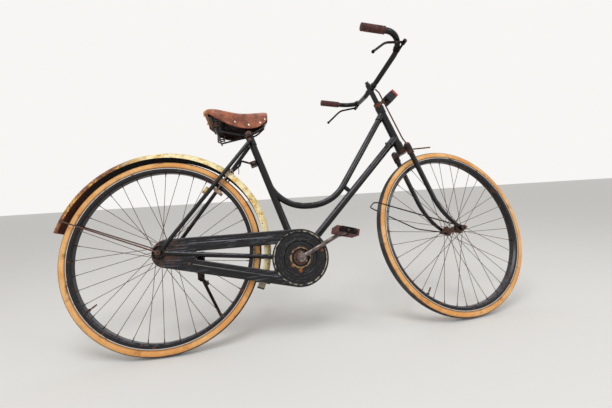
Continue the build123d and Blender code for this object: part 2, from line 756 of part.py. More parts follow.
clamp_floor = rod(seat_top, seat_top + seat_up * (lug_rise + fit_gap), 60)
clamp_body = joined(clamp_bar, clamp_core) - clamp_floor - pieces["seat_post"]
pieces["saddle_clamp"] = clamp_body - pieces["saddle_frame"]


# Fork, modelled about the steering axis: X forward, Z up the axis
crown_height = 24.0
blade_top_radius = 11.0
blade_low_radius = 7.0
blade_y = front_span / 2
blade_bend_start = 165.0
blade_flat = 24.0           # from the axle to where the flattened end becomes round
bend_radius = (blade_bend_start ** 2 + fork_offset ** 2) / (2 * fork_offset)


def blade(side):
    y = side * blade_y
    straight = rod((0, y, crown_top - 8), (0, y, blade_bend_start), blade_top_radius, 9.5)
    path = TangentArc((0, y, blade_bend_start), (fork_offset, y, 0), tangent=(0, 0, -1))
    lower = sweep([Plane(origin=path @ 0, z_dir=path % 0) * Circle(9.5),
                   Plane(origin=path @ 1, z_dir=path % 1) * Circle(blade_low_radius)], path=path, multisection=True)
    end = rod((fork_offset, y - plate_half, 0), (fork_offset, y + plate_half, 0), 13.0)
    space = rod((fork_offset, y - 20, 0), (fork_offset, y - plate_half, 0), blade_flat) + rod(
        (fork_offset, y + plate_half, 0), (fork_offset, y + 20, 0), blade_flat)
    hole = rod((fork_offset, y - 9, 0), (fork_offset, y + 9, 0), axle_radius + fit_gap)
    return (joined(straight, lower) - space) + end - hole


def crown_socket(side):
    y = side * blade_y
    cap = Pos(0, y, crown_top - 4) * Sphere(blade_top_radius + lug_wall)
    sleeve = rod((0, y, crown_top - 42), (0, y, crown_top - 4), blade_top_radius + lug_wall)
    return joined(cap, sleeve)


crown_bar = Pos(0, 0, crown_top - crown_height / 2) * Box(28, front_span, crown_height)
crown_bar = fillet(crown_bar.edges().filter_by(Axis.Y), 8)
crown_seat = rod((0, 0, crown_top - crown_height), (0, 0, crown_top), cup_radius - 1)
steerer = rod((0, 0, crown_top), (0, 0, locknut_low), head_bore - 0.5)
fork_body = joined(crown_bar, crown_seat, steerer, crown_socket(-1), crown_socket(1))
blades = side_pair(blade)
pieces["fork_blades"] = steered * blades
pieces["fork_crown"] = steered * (fork_body - blades)

locknut = Pos(0, 0, locknut_low) * extrude(RegularPolygon(17.5, 8), amount=locknut_height)
quill_radius = 11.0
pieces["head_locknut"] = steered * (locknut - rod((0, 0, locknut_low - 1), (0, 0, stem_top), quill_radius + fit_gap))

# Front axle with its cones and nuts
front_axle_half = 75.2
front_end_outside = blade_y + plate_half
front_nut_start = front_end_outside + 2 * wire_radius + 6 * fit_gap
front_bar = across(fork_offset, 0, axle_radius, -front_axle_half, front_axle_half)
front_cones = joined(
    across(fork_offset, 0, 8.0, -blade_y + plate_half, -front_hub_half - fit_gap),
    front_bar,
    across(fork_offset, 0, 8.0, front_hub_half + fit_gap, blade_y - plate_half))
pieces["front_axle"] = steered * joined(
    front_cones,
    hex_nut(fork_offset, 0, -front_nut_start - nut_width, -front_nut_start, nut_flats, axle_radius - 1),
    hex_nut(fork_offset, 0, front_nut_start, front_nut_start + nut_width, nut_flats, axle_radius - 1))

# The bent wire stay that once held the front mudguard, its left leg bowed down
# reach from the front axle, degrees up from level ahead, side
loop_table = [(wheel_radius + 40.2, 143.3, -42.0), (wheel_radius + 20.8, 143.2, 34.0), (0.4 * wheel_radius, 153.8, 47.0)]
loop_right, loop_left, loop_left_knee = [
    (fork_offset + reach * math.cos(math.radians(up)), side, reach * math.sin(math.radians(up)))
    for reach, up, side in loop_table]
loop_step = 8.0             # of the right leg outwards, to pass the fork blade; half on the left
loop_step_reach = 28.0      # from the axle


def stay_eye(side, y):
    eye = across(fork_offset, 0, stay_eye_radius, side * y - stay_eye_half, side * y + stay_eye_half)
    return eye - across(fork_offset, 0, axle_radius + fit_gap, side * y - 9, side * y + 9)


def make_front_loop():
    y = front_end_outside + wire_radius + 3 * fit_gap
    right_axle = Vector(fork_offset, -y, 0)
    left_axle = Vector(fork_offset, y, 0)
    right_run = (Vector(*loop_right) - right_axle).normalized()
    right_start = right_axle + right_run * (stay_eye_radius - 1)
    right_step = right_axle + right_run * loop_step_reach - Vector(0, loop_step, 0)
    left_run = (Vector(*loop_left_knee) - left_axle).normalized()
    left_start = left_axle + left_run * (stay_eye_radius - 1)
    left_step = left_axle + left_run * loop_step_reach + Vector(0, loop_step / 2, 0)
    points = [right_start, right_step, loop_right, loop_left, loop_left_knee, left_step, left_start]
    return joined(bent(points, [20, 20, 20, 160, 20], wire_radius), stay_eye(-1, y), stay_eye(1, y))


pieces["front_stay_loop"] = steered * make_front_loop()


# Stem, handlebar and grips
bar_radius = 11.0
bar_forward = 6.0
bar_middle_half = 54.0      # straight stretch through the stem, to each side
bar_corner = (72.0, 244.0, bar_station + 54.0)
bar_end = (-111.0, 240.0, bar_station + 119.0)
bar_bends = [24.0, 74.0]
grip_length = 98.0
grip_radius = 15.0
stem_lug_radius = 16.0
sleeve_half = 28.0          # of the stem's lug along the bar


def mirrored(point, side):
    return Vector(point[0], side * point[1], point[2])


def bar_points(side):
    return [Vector(bar_forward, 0, bar_station), Vector(bar_forward, side * bar_middle_half, bar_station),
            mirrored(bar_corner, side), mirrored(bar_end, side)]


middle_at = Vector(bar_forward, 0, bar_station)
handlebar = joined(*[bent(bar_points(side), bar_bends, bar_radius) for side in (-1, 1)])
sleeve_reach = Vector(0, sleeve_half, 0)
stem_lug = Pos(*middle_at) * Sphere(stem_lug_radius)
stem_sleeve = rod(middle_at - sleeve_reach, middle_at + sleeve_reach, bar_radius + lug_wall)
stem_bar = rod((0, 0, locknut_low), (0, 0, stem_top - 10), quill_radius)
stem_bolt = rod((0, 0, stem_top - 12), (0, 0, stem_top), 7.0)
pieces["handlebar"] = steered * handlebar
pieces["stem"] = steered * (joined(stem_bar, stem_bolt, stem_lug, stem_sleeve) - handlebar)


def grip(side):
    end = mirrored(bar_end, side)
    run = (mirrored(bar_corner, side) - end).normalized()
    outer = rod(end - run * 5, end + run * (grip_length - 5), grip_radius)
    return outer - rod(end - run * fit_gap, end + run * grip_length, bar_radius + fit_gap)


pieces["grips"] = steered * side_pair(grip)

# Brake levers: a clamp outside each bend and a curved bar under the grip
lever_radius = 4.5
lever_pivot = (55.0, 225.0, bar_station + 37.0)
lever_middle = (-37.0, 231.0, bar_station + 45.0)
lever_tip = (-122.0, 245.0, bar_station + 7.0)
lever_station = 200.0       # of the clamp, along the bar from its middle
lever_clamp_half = 7.0
lever_knob_radius = 6.5


def lever(side):
    pivot = mirrored(lever_pivot, side)
    bar = bent([pivot, mirrored(lever_middle, side), mirrored(lever_tip, side)], [70], lever_radius)
    knob = Pos(*mirrored(lever_tip, side)) * Sphere(lever_knob_radius)
    hub = rod(pivot - Vector(0, 9, 0), pivot + Vector(0, 9, 0), 8.0)
    path = FilletPolyline(*bar_points(side), radius=bar_bends)
    share = lever_station / path.length
    clamp_point = path @ share
    clamp_run = (path % share) * lever_clamp_half
    ring = rod(clamp_point - clamp_run, clamp_point + clamp_run, bar_radius + 3)
    under = clamp_point - Vector(4, 0, bar_radius + 4)
    arm = joined(rod(clamp_point, under, 5.0), Pos(*under) * Sphere(5.0), rod(under, pivot, 4.5))
    return joined(bar, knob, hub, ring, arm) - handlebar


pieces["brake_levers"] = steered * side_pair(lever)


# Rear brake: a block behind the seat tube, a bent arm and a stirrup with a pad at each side of the spokes
brake_block = (24.0, 26.0, 20.0)
brake_wire = 3.0
brake_arm_radius = 4.0
stirrup_half = guard_half_width + brake_wire + 2 * fit_gap
pad_inner = 9.0
pad_width = 12.0
pad_height = 11.0
pad_length = 34.0
stay_run = Vector(seat_stay_head.X, 0, seat_stay_head.Z - wheel_radius).normalized()
stay_over = Vector(-stay_run.Z, 0, stay_run.X)


def by_stay(beyond, over):
    """A point beside the seat stays: beyond the tyre's reach, and over the stays' line."""
    point = rear_axle_at + stay_run * (wheel_radius + beyond) + stay_over * over
    return point.X, point.Z


brake_arm_end = by_stay(99.8, -15.1)
brake_arm_knee = by_stay(80.3, -22.7)
stirrup_top = by_stay(43.6, -14.6)
stirrup_low = by_stay(-35.8, -17.0)
brake_drop = (seat_top - Vector(stirrup_top[0], 0, stirrup_top[1])).dot(seat_up)
block_at = seat_top - seat_up * brake_drop + seat_back * (main_tube_radius + pin_gap + brake_block[0] / 2)
block = Plane(origin=block_at, x_dir=seat_back, z_dir=seat_up).location * Box(*brake_block)
arm_points = [(block_at.X, 0, block_at.Z)]
arm_points += [(x, 0, z) for x, z in (brake_arm_end, brake_arm_knee, stirrup_top)]
brake_arm = bent(arm_points, [7, 7], brake_arm_radius)
pieces["rear_brake_arm"] = joined(block, brake_arm)
top_x, top_z = stirrup_top
low_x, low_z = stirrup_low
stirrup = bent([(low_x, -stirrup_half, low_z), (top_x, -stirrup_half, top_z), (top_x, stirrup_half, top_z),
                (low_x, stirrup_half, low_z)], [10, 10], brake_wire)
pad_angle = math.atan2(low_z - wheel_radius, low_x)
pad_radius = rim_floor - swing_gap - pad_height / 2
pads = []
for side in (-1, 1):
    pad = Pos(pad_radius, side * (pad_inner + pad_width / 2), 0) * Box(pad_height, pad_width, pad_length)
    pad = rear_at * Rotation(0, -math.degrees(pad_angle), 0) * pad
    holder = rod((low_x, side * stirrup_half, low_z), pad.center(), brake_wire)
    pads.append(pad)
    stirrup += holder
pieces["rear_brake_stirrup"] = stirrup - brake_arm - pads[0] - pads[1]
pieces["rear_brake_pads"] = Compound(children=pads)

# Small clip on the right seat stay, left from a pump or a lock
peg_back, peg_top = seat_stay_line(-1)
peg_share = 0.505           # of the way from the axle to the seat lug
peg_run = (peg_top - peg_back).normalized()
peg_at = peg_back + (peg_top - peg_back) * peg_share
peg_out = Vector(-peg_run.Z, 0, peg_run.X) * (seat_stay_radius + 4.0)
peg_half = 14.0
peg_radius = 6.5
peg = rod(peg_at + peg_out - peg_run * peg_half, peg_at + peg_out + peg_run * peg_half, peg_radius)
pieces["stay_peg"] = peg - seat_stays


# Lamp in front of the head, tilted up, on a strap round the stem
lamp_forward = 74.0
lamp_station = locknut_low + 30.0
lamp_size = (58.0, 42.0, 40.0)
lamp_tilt = 23.0            # degrees, front up
lamp_corner = 7.0
lens_size = (9.0, 38.0, 36.0)
strap_low = locknut_low + locknut_height + fit_gap
strap_height = 3.0
strap_width = 18.0
rod_forward = 26.0
rod_side = -12.0
rod_radius = 3.0
lamp_place = Pos(lamp_forward, 0, lamp_station) * Rotation(0, -lamp_tilt, 0)
lamp_box = Box(*lamp_size)
lamp_box = fillet(lamp_box.edges().filter_by(Axis.X), lamp_corner)
lens = Pos((lamp_size[0] + lens_size[0]) / 2 + fit_gap, 0, 0) * Box(*lens_size)
lens = fillet(lens.edges().filter_by(Axis.X), lamp_corner - 2)
lamp_body = lamp_place * lamp_box
pieces["lamp_body"] = steered * lamp_body
pieces["lamp_lens"] = steered * lamp_place * lens
strap_reach = lamp_forward - 20.0
strap_ring = rod((0, 0, strap_low), (0, 0, strap_low + strap_height), 18.0)
strap_arm = Pos(strap_reach / 2, 0, strap_low + strap_height / 2) * Box(strap_reach, strap_width, strap_height)
strap_hole = rod((0, 0, strap_low - 1), (0, 0, strap_low + 9), quill_radius + fit_gap)
rod_way = rod((rod_forward, rod_side, strap_low - 5), (rod_forward, rod_side, strap_low + 9), rod_radius + 1.5)
pieces["lamp_strap"] = steered * (joined(strap_ring, strap_arm) - strap_hole - rod_way - lamp_body)

# Front brake rod from the bar to the crown, its lower end bent forward and its stirrup gone
rod_low = crown_top - 18.0
rod_tip = (142.0, crown_top - 38.0)    # forward of the steering axis, and up it
rod_stub = (40.0, crown_top - 55.0)
rod_foot_forward = 44.0
guide_size = (34.0, 14.0, 5.0)
guide_low = crown_top - 10.0
brake_rod = bent([(bar_forward + 10, rod_side, bar_station - 12), (rod_forward, rod_side, bar_station - 32),
                  (rod_forward + 2, rod_side, crown_top + 40), (rod_foot_forward, rod_side, rod_low),
                  (rod_tip[0], rod_side, rod_tip[1])], [14, 60, 8], rod_radius)
stub = rod((rod_foot_forward, rod_side, rod_low), (rod_stub[0], rod_side, rod_stub[1]), rod_radius)
rod_guide = Pos(guide_size[0] / 2 + 13, rod_side, guide_low) * Box(*guide_size)
rod_guide -= rod((rod_foot_forward, rod_side, rod_low), (rod_forward + 2, rod_side, crown_top + 40), rod_radius + fit_gap)
pieces["front_brake_rod"] = steered * (joined(brake_rod, stub) - handlebar - stem_lug)
pieces["front_rod_guide"] = steered * (rod_guide - crown_bar - crown_seat)


# Side stand: a bracket under the left chain stay and a leg that swings back and up
stand_share = 0.228         # of the way from the rear axle to the crank axle
stand_drop = 86.5           # of the pivot below the chain stay
stand_out = 74.0
stand_stay = rear_axle_at + (bracket_at - rear_axle_at) * stand_share
stand_pivot = stand_stay + Vector(0, stand_out, -stand_drop)
stand_foot_side = 212.0     # of the foot's middle from the bicycle's middle plane
stand_foot_forward = 170.0
leg_radius = 6.0
foot_radius = 14.0
foot_height = 8.0
stand_axis = Vector(-0.204, 1.0, 0.3).normalized()
stand_eye_radius = 11.0
stand_eye_half = 4.0
stand_pin = 5.0
bracket_plate = 4.0


def tyre_low(centre, axle, up):
    """How low a tyre reaches along the true upward direction."""
    tilt = axle.dot(up)
    steep = math.sqrt(1 - tilt * tilt)
    return min(centre.dot(up) - r * steep - y * abs(tilt) for r, y in tyre_section)


front_axle_at = (steered * front_at).position
front_axle_run = Vector(-axis_forward.X * math.sin(math.radians(steer_turn)), math.cos(math.radians(steer_turn)),
                        -axis_forward.Z * math.sin(math.radians(steer_turn)))
true_up = Vector(0, -math.sin(math.radians(lean)), math.cos(math.radians(lean)))
for _ in range(5):
    drop = tyre_low(front_axle_at, front_axle_run, true_up) - tyre_low(rear_axle_at, Vector(0, 1, 0), true_up)
    true_up = (true_up - Vector(drop / wheelbase, 0, 0)).normalized()
ground = tyre_low(rear_axle_at, Vector(0, 1, 0), true_up)
foot_low = Vector(stand_foot_forward, stand_foot_side, 0)
foot_low = foot_low + Vector(0, 0, (ground - foot_low.dot(true_up)) / true_up.Z)
leg_end = foot_low + true_up * foot_height
leg_run = (leg_end - stand_pivot).normalized()

stand_eye = rod(stand_pivot - stand_axis * stand_eye_half, stand_pivot + stand_axis * stand_eye_half, stand_eye_radius)
leg_start = stand_pivot + leg_run * (stand_pin + 3)
leg = rod(leg_start, leg_end, leg_radius)
foot = rod(foot_low, leg_end, foot_radius)
pin_space = rod(stand_pivot - stand_axis * 20, stand_pivot + stand_axis * 20, stand_pin + pin_gap)
head_space = rod(stand_pivot + stand_axis * stand_eye_half, stand_pivot + stand_axis * 20, stand_eye_radius - 1)
pieces["stand_leg"] = joined(stand_eye, leg, foot) - pin_space - head_space

back_left, front_left = chain_stay_line(1)
stay_at = back_left + (front_left - back_left) * (stand_pivot.X / bracket_forward)
stay_slant = (back_left.Y - front_left.Y) / bracket_forward
hanger_half = 16.0
plate_low = stay_at.Y + stay_tube_radius + hanger_half * stay_slant + 2 * fit_gap
boss_face = stand_pivot - stand_axis * (stand_eye_half + fit_gap)
boss = rod(boss_face - stand_axis * 14, boss_face, 10.0)
hanger = plate([(stay_at.X - hanger_half, stay_at.Z + 12), (stay_at.X + hanger_half, stay_at.Z + 12),
                (stand_pivot.X + 12, stand_pivot.Z - 8), (stand_pivot.X - 12, stand_pivot.Z - 8)],
               plate_low, plate_low + bracket_plate)
clip = Pos(stay_at.X, plate_low - 9, stay_at.Z) * Box(28, 20, 24)
clip -= rod(back_left - (front_left - back_left), front_left, stay_tube_radius + fit_gap)
pin = rod(boss_face - stand_axis * 10, stand_pivot + stand_axis * 12, stand_pin)
pin_head = rod(stand_pivot + stand_axis * (stand_eye_half + fit_gap), stand_pivot + stand_axis * 9, 8.5)
stop_side = leg_run.cross(stand_axis).normalized()
stop_at = stand_pivot + leg_run * 30 + stop_side * (leg_radius + 5 + fit_gap)
stop_peg = rod(stop_at - stand_axis * 24, stop_at + stand_axis * 8, 5.0)
stop_arm = rod(boss_face - stand_axis * 8, stop_at - stand_axis * 20, 6.0)
pieces["stand_bracket"] = joined(hanger, clip, boss, pin, pin_head, stop_peg, stop_arm)


# Parked: the true upward direction becomes Z, and the middle of the footprint the origin
level_forward = (Vector(1, 0, 0) - true_up * true_up.X).normalized()
standing = Plane(origin=true_up * ground, x_dir=level_forward, z_dir=true_up).location.inverse()
stood = {name: standing * shape for name, shape in pieces.items()}
whole = Compound(children=[Compound(shape.solids()) for shape in stood.values()]).bounding_box()
middle = Vector((whole.min.X + whole.max.X) / 2, (whole.min.Y + whole.max.Y) / 2, whole.min.Z)
parked = Pos(-middle.X, -middle.Y, -middle.Z) * standing

os.makedirs("parts", exist_ok=True)
for name, shape in pieces.items():
    export_step(parked * shape, f"parts/{name}.step")
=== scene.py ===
import math

import bpy
from mathutils import Matrix, Vector


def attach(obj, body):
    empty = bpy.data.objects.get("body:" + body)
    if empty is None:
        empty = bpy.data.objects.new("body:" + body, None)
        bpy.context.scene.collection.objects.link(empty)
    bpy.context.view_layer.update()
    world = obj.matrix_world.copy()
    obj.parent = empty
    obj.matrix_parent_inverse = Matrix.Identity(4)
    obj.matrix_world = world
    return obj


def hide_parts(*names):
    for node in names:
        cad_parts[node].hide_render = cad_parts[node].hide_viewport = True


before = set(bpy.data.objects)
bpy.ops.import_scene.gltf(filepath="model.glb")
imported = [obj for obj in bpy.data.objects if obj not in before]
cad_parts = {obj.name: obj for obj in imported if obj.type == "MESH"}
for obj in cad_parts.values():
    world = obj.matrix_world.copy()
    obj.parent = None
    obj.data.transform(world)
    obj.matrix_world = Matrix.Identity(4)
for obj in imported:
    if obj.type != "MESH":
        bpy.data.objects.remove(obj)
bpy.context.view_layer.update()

# View: low and close on the bicycle's right side through a wide lens, turned a little, as in
# the photograph. The colours are shown as they are written.
bpy.ops.object.select_all(action="DESELECT")
bpy.ops.object.camera_add(
    location=(-0.18369, -1.22523, 0.52009),
    rotation=(math.radians(88.4586), math.radians(3.568), math.radians(-7.8709)))
camera = bpy.context.object
camera.data.sensor_width = 36.0
camera.data.lens = 16.983
camera.data.clip_start = 0.01
bpy.context.scene.camera = camera
bpy.context.scene.view_settings.view_transform = "Standard"


# Studio: a plain pale floor under a pale surround, with soft light from above and from the
# side that the view looks at. The surround is brighter where it is seen, directly or mirrored,
# than as a light.
class Value:
    """A number, colour or vector made by nodes, so that masks are written as sums."""

    def __init__(self, nodes, socket):
        self.nodes = nodes
        self.socket = socket

    def __add__(self, other):
        return self.nodes.maths("ADD", self, other)

    def __sub__(self, other):
        return self.nodes.maths("SUBTRACT", self, other)

    def __rsub__(self, other):
        return self.nodes.maths("SUBTRACT", other, self)

    def __mul__(self, other):
        return self.nodes.maths("MULTIPLY", self, other)

    def __pow__(self, other):
        return self.nodes.maths("POWER", self, other)

    def __abs__(self):
        return self.nodes.maths("ABSOLUTE", self)

    __radd__ = __add__
    __rmul__ = __mul__


class Nodes:
    """The nodes of the surround or of a material, each made by one method."""

    def __init__(self, owner):
        owner.use_nodes = True
        self.tree = owner.node_tree

    def node(self, kind, settings, sockets, output=0):
        made = self.tree.nodes.new(kind)
        for key, value in settings.items():
            setattr(made, key, value)
        for key, value in sockets.items():
            if isinstance(value, Value):
                self.tree.links.new(value.socket, made.inputs[key])
            else:
                made.inputs[key].default_value = value
        return Value(self, made.outputs[output])

    def maths(self, operation, first, second=0.0):
        return self.node("ShaderNodeMath", {"operation": operation}, {0: first, 1: second})


bpy.ops.mesh.primitive_plane_add(size=400)
floor = bpy.context.object
floor.name = "floor"
floor_paint = bpy.data.materials.new("pale_floor")
floor_paint.use_nodes = True
floor_shader = floor_paint.node_tree.nodes["Principled BSDF"]
floor_shader.inputs["Base Color"].default_value = (0.82, 0.81, 0.79, 1)
floor_shader.inputs["Roughness"].default_value = 0.9
floor.data.materials.append(floor_paint)

surround = bpy.data.worlds.new("pale_surround")
bpy.context.scene.world = surround
sky = Nodes(surround)
background = sky.tree.nodes["Background"]
background.inputs["Color"].default_value = (1.0, 0.99, 0.97, 1)
camera_ray = sky.node("ShaderNodeLightPath", {}, {}, "Is Camera Ray")
mirror_ray = sky.node("ShaderNodeLightPath", {}, {}, "Is Glossy Ray")
glass_ray = sky.node("ShaderNodeLightPath", {}, {}, "Is Transmission Ray")
seen = sky.maths("MAXIMUM", sky.maths("MAXIMUM", camera_ray, mirror_ray), glass_ray)
strength = sky.node("ShaderNodeMapRange", {}, {"Value": seen, "To Min": 0.62, "To Max": 0.93})
sky.tree.links.new(strength.socket, background.inputs["Strength"])

for name, spot, aim, size, power in (
        ("sky_light", (-0.6, -1.6, 3.2), (0, 0, 0.5), 1.5, 42.0),
        ("side_light", (2.2, -2.4, 1.6), (0.1, 0, 0.4), 0.8, 14.0)):
    bpy.ops.object.light_add(type="AREA", location=spot)
    light = bpy.context.object
    light.name = name
    light.data.size = size
    light.data.energy = power
    light.rotation_euler = (Vector(aim) - Vector(spot)).to_track_quat("-Z", "Y").to_euler()


# Tyres: an old 28 inch tyre with a tan rubber wall and a thin black tread, cut into ribs and
# shoulder blocks. Each is turned about its axle and follows its own wheel.
class Paint(Nodes):
    """A material of its own nodes, on coordinates in metres."""

    def __init__(self, name):
        self.material = bpy.data.materials.new(name)
        super().__init__(self.material)
        self.shader = self.tree.nodes["Principled BSDF"]
        self.place = self.node("ShaderNodeTexCoord", {}, {}, "Object")

    def vector(self, operation, first, second=(0, 0, 0), output="Vector"):
        settings = {"operation": operation}
        return self.node("ShaderNodeVectorMath", settings, {0: first, 1: second}, output)

    def step(self, value, low, high):
        """0 below low, 1 above high, smooth between."""
        return self.node("ShaderNodeMapRange", {"interpolation_type": "SMOOTHSTEP"}, {
            "Value": value, "From Min": low, "From Max": high})

    def band(self, value, low, high, soft):
        """1 between low and high, with soft edges."""
        above = self.step(value, low - soft, low + soft)
        return above * self.step(value, high + soft, high - soft)

    def noise(self, scale, detail, place=None):
        return self.node("ShaderNodeTexNoise", {}, {
            "Vector": place or self.place, "Scale": scale, "Detail": detail, "Roughness": 0.62})

    def mix(self, factor, *colours):
        """From a first colour to a second, each made by nodes or as it is seen, from 0 to 255."""
        first, second = (srgb(*c) if isinstance(c, tuple) else c for c in colours)
        # the node's sockets 6 and 7 and its output 2 are the ones for colours
        settings = {"data_type": "RGBA"}
        return self.node("ShaderNodeMix", settings, {0: factor, 6: first, 7: second}, 2)

    def local(self, at):
        """Coordinates in a frame of the bicycle, such as a wheel's, its axle along Y."""
        return self.node("ShaderNodeMapping", {"vector_type": "TEXTURE"}, {
            "Vector": self.place, "Location": at.to_translation(), "Rotation": at.to_euler()})

    def axes(self, place):
        split = self.node("ShaderNodeSeparateXYZ", {}, {"Vector": place}).socket.node
        return [Value(self, socket) for socket in split.outputs]

    def normal(self):
        """The way that the surface looks."""
        return self.node("ShaderNodeTexCoord", {}, {}, "Normal")

    def bump(self, height, distance, strength):
        return self.node("ShaderNodeBump", {}, {
            "Height": height, "Distance": distance, "Strength": strength})

    def finish(self, **sockets):
        names = {"colour": "Base Color", "rough": "Roughness", "metal": "Metallic",
                 "coat": "Coat Weight", "normal": "Normal", "level": "Specular IOR Level"}
        for key, value in sockets.items():
            target = self.shader.inputs[names[key]]
            if isinstance(value, Value):
                self.tree.links.new(value.socket, target)
            else:
                target.default_value = value
        return self.material


def srgb(*channels):
    """A colour as it is seen, from 0 to 255."""
    return tuple((channel / 255) ** 2.2 for channel in channels) + (1.0,)


def distance(x, z):
    """How far a place is from a middle, from its distances along two axes."""
    return (x * x + z * z) ** 0.5


def begin(name, add, **size):
    """A primitive as a new piece, all selected in edit mode."""
    bpy.ops.object.select_all(action="DESELECT")
    add(**size)
    piece = bpy.context.object
    piece.name = name
    bpy.ops.object.mode_set(mode="EDIT")
    return piece


def draw(name, points):
    """A line drawn on from a single vertex, the start of a turned or swept piece."""
    piece = begin(name, bpy.ops.mesh.primitive_plane_add, size=0.001)
    bpy.ops.mesh.merge(type="CENTER")
    bpy.ops.transform.translate(value=points[0])
    for here, there in zip(points, points[1:]):
        move = Vector(there) - Vector(here)
        bpy.ops.mesh.extrude_region_move(TRANSFORM_OT_translate={"value": move})
    bpy.ops.mesh.select_all(action="SELECT")
    return piece


def clean(fill=False):
    """Merges a piece's doubles, closes its open ends and turns its faces outwards."""
    bpy.ops.mesh.select_all(action="SELECT")
    bpy.ops.mesh.remove_doubles(threshold=0.00001)
    if fill:
        bpy.ops.mesh.fill_holes(sides=0)
    bpy.ops.mesh.normals_make_consistent(inside=False)


def turn(steps, axis):
    """Spins the drawn line into a closed body."""
    bpy.ops.mesh.spin(steps=steps, angle=math.tau, center=(0, 0, 0), axis=axis)
    clean()


def settle(piece, at, smooth=35):
    """Puts a piece's place into its mesh and smooths its round faces."""
    if bpy.context.mode != "OBJECT":
        bpy.ops.object.mode_set(mode="OBJECT")
    bpy.ops.object.select_all(action="DESELECT")
    piece.select_set(True)
    bpy.context.view_layer.objects.active = piece
    piece.matrix_world = at @ piece.matrix_world
    bpy.ops.object.transform_apply(location=True, rotation=True, scale=True)
    bpy.ops.object.shade_smooth_by_angle(angle=math.radians(smooth))
    return piece


def dress(piece, material, body, slot, *nodes):
    """Gives a piece its finish, the body it moves with and the nodes it stands for."""
    piece.data.materials.clear()
    piece.data.materials.append(material)
    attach(piece, body)
    if nodes:
        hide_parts(*nodes)


# The upright bicycle as it is parked: X forward, Y to its left, Z up, from the ground under the
# rear axle. The steering's Z runs up the head, and its X through the front axle.
leaned = Matrix((
    (0.9999993, -0.0002710, 0.0011739, -0.5639160),
    (0.0, 0.9743701, 0.2249511, -0.1874487),
    (-0.0012048, -0.2249509, 0.9743694, 0.0017009),
    (0.0, 0.0, 0.0, 1.0)))
steering_axis = Matrix((
    (0.9499721, 0.0, -0.3123349, 1.0988516),
    (0.0, 1.0, 0.0, 0.0),
    (0.3123349, 0.0, 0.9499721, 0.3321969),
    (0.0, 0.0, 0.0, 1.0)))
steering_turn = math.radians(8.7)
steered = leaned @ steering_axis @ Matrix.Rotation(steering_turn, 4, "Z")
wheel_radius = 0.35
fork_offset = 0.057
wheels = {
    "rear": leaned @ Matrix.Translation((0, 0, wheel_radius)),
    "front": steered @ Matrix.Translation((fork_offset, 0, 0))}

# radius and distance from the middle, in millimetres, from the tread to the bead
tyre_half = [
    (350.0, 1.6), (349.3, 1.9), (349.3, 2.9), (350.0, 3.2), (349.8, 5.9), (349.1, 6.2),
    (349.0, 7.2), (349.5, 7.6), (348.6, 11.0), (347.2, 13.6), (346.3, 14.0), (344.0, 16.2),
    (340.0, 17.6), (334.0, 18.0), (329.0, 17.2), (326.0, 15.4), (325.0, 13.6), (318.0, 13.2)]
tyre_line = [(0, -side / 1000, radius / 1000) for radius, side in tyre_half[::-1]]
tyre_line += [(0, side / 1000, radius / 1000) for radius, side in tyre_half]


def tyre_paint(name, at):
    """Rubber by its distance from the axle: tan and dirty on the wall, black and ribbed on top."""
    paint = Paint(name)
    x, _, z = paint.axes(paint.local(at))
    radius = distance(x, z)
    fine = paint.noise(260, 3)
    patches = paint.noise(9, 5)
    wall = paint.mix(paint.step(patches, 0.38, 0.66), (226, 158, 88), (244, 190, 124))
    wall = paint.mix(paint.step(fine, 0.5, 0.75) * 0.5, wall, (176, 104, 52))
    dirt = paint.step(paint.noise(26, 6), 0.52, 0.72)
    low_edge = paint.step(radius + fine * 0.004, 0.3325, 0.3270)
    high_edge = paint.step(radius + dirt * 0.002, 0.3430, 0.3462)
    wall = paint.mix(dirt * 0.5 + low_edge * 0.7 + high_edge * 0.5, wall, (118, 68, 34))
    tread = paint.mix(paint.step(patches, 0.4, 0.7), (40, 40, 44), (84, 82, 82))
    on_tread = paint.step(radius + paint.noise(40, 4) * 0.0012, 0.3450, 0.3462)
    ribs_to_metre = 420.0
    ribs = paint.step(abs(paint.maths("FRACT", radius * ribs_to_metre) - 0.5), 0.2, 0.45)
    height = fine * 0.5 + ribs * (1 - on_tread) * 0.6
    return paint.finish(colour=paint.mix(on_tread, wall, tread), rough=0.62 + patches * 0.3,
                        normal=paint.bump(height, 0.0006, 0.7))


tread_steps = 180
steps_to_block = 3
shoulder_radius = 0.348
shoulder_side = 0.0078
notch_wall = 0.0006
notch_depth = 0.0009
for end, at in wheels.items():
    tyre = draw(f"{end}_tyre_rubber", tyre_line)
    bpy.ops.mesh.edge_face_add()
    bpy.ops.mesh.delete(type="ONLY_FACE")
    bpy.ops.mesh.select_all(action="SELECT")
    turn(tread_steps, (0, 1, 0))
    bpy.ops.mesh.select_all(action="DESELECT")
    bpy.ops.object.mode_set(mode="OBJECT")
    for face in tyre.data.polygons:
        x, y, z = face.center
        step = math.floor(math.atan2(z, x) / math.tau * tread_steps)
        on_shoulder = math.hypot(x, z) > shoulder_radius and abs(y) > shoulder_side
        if on_shoulder and step % steps_to_block == 0:
            face.select = True
    bpy.ops.object.mode_set(mode="EDIT")
    bpy.ops.mesh.inset(thickness=notch_wall, depth=-notch_depth, use_individual=True)
    settle(tyre, at, smooth=50)
    dress(tyre, tyre_paint(f"{end}_tyre_rubber", at), f"{end}_wheel", "tyre", f"{end}_tyre")


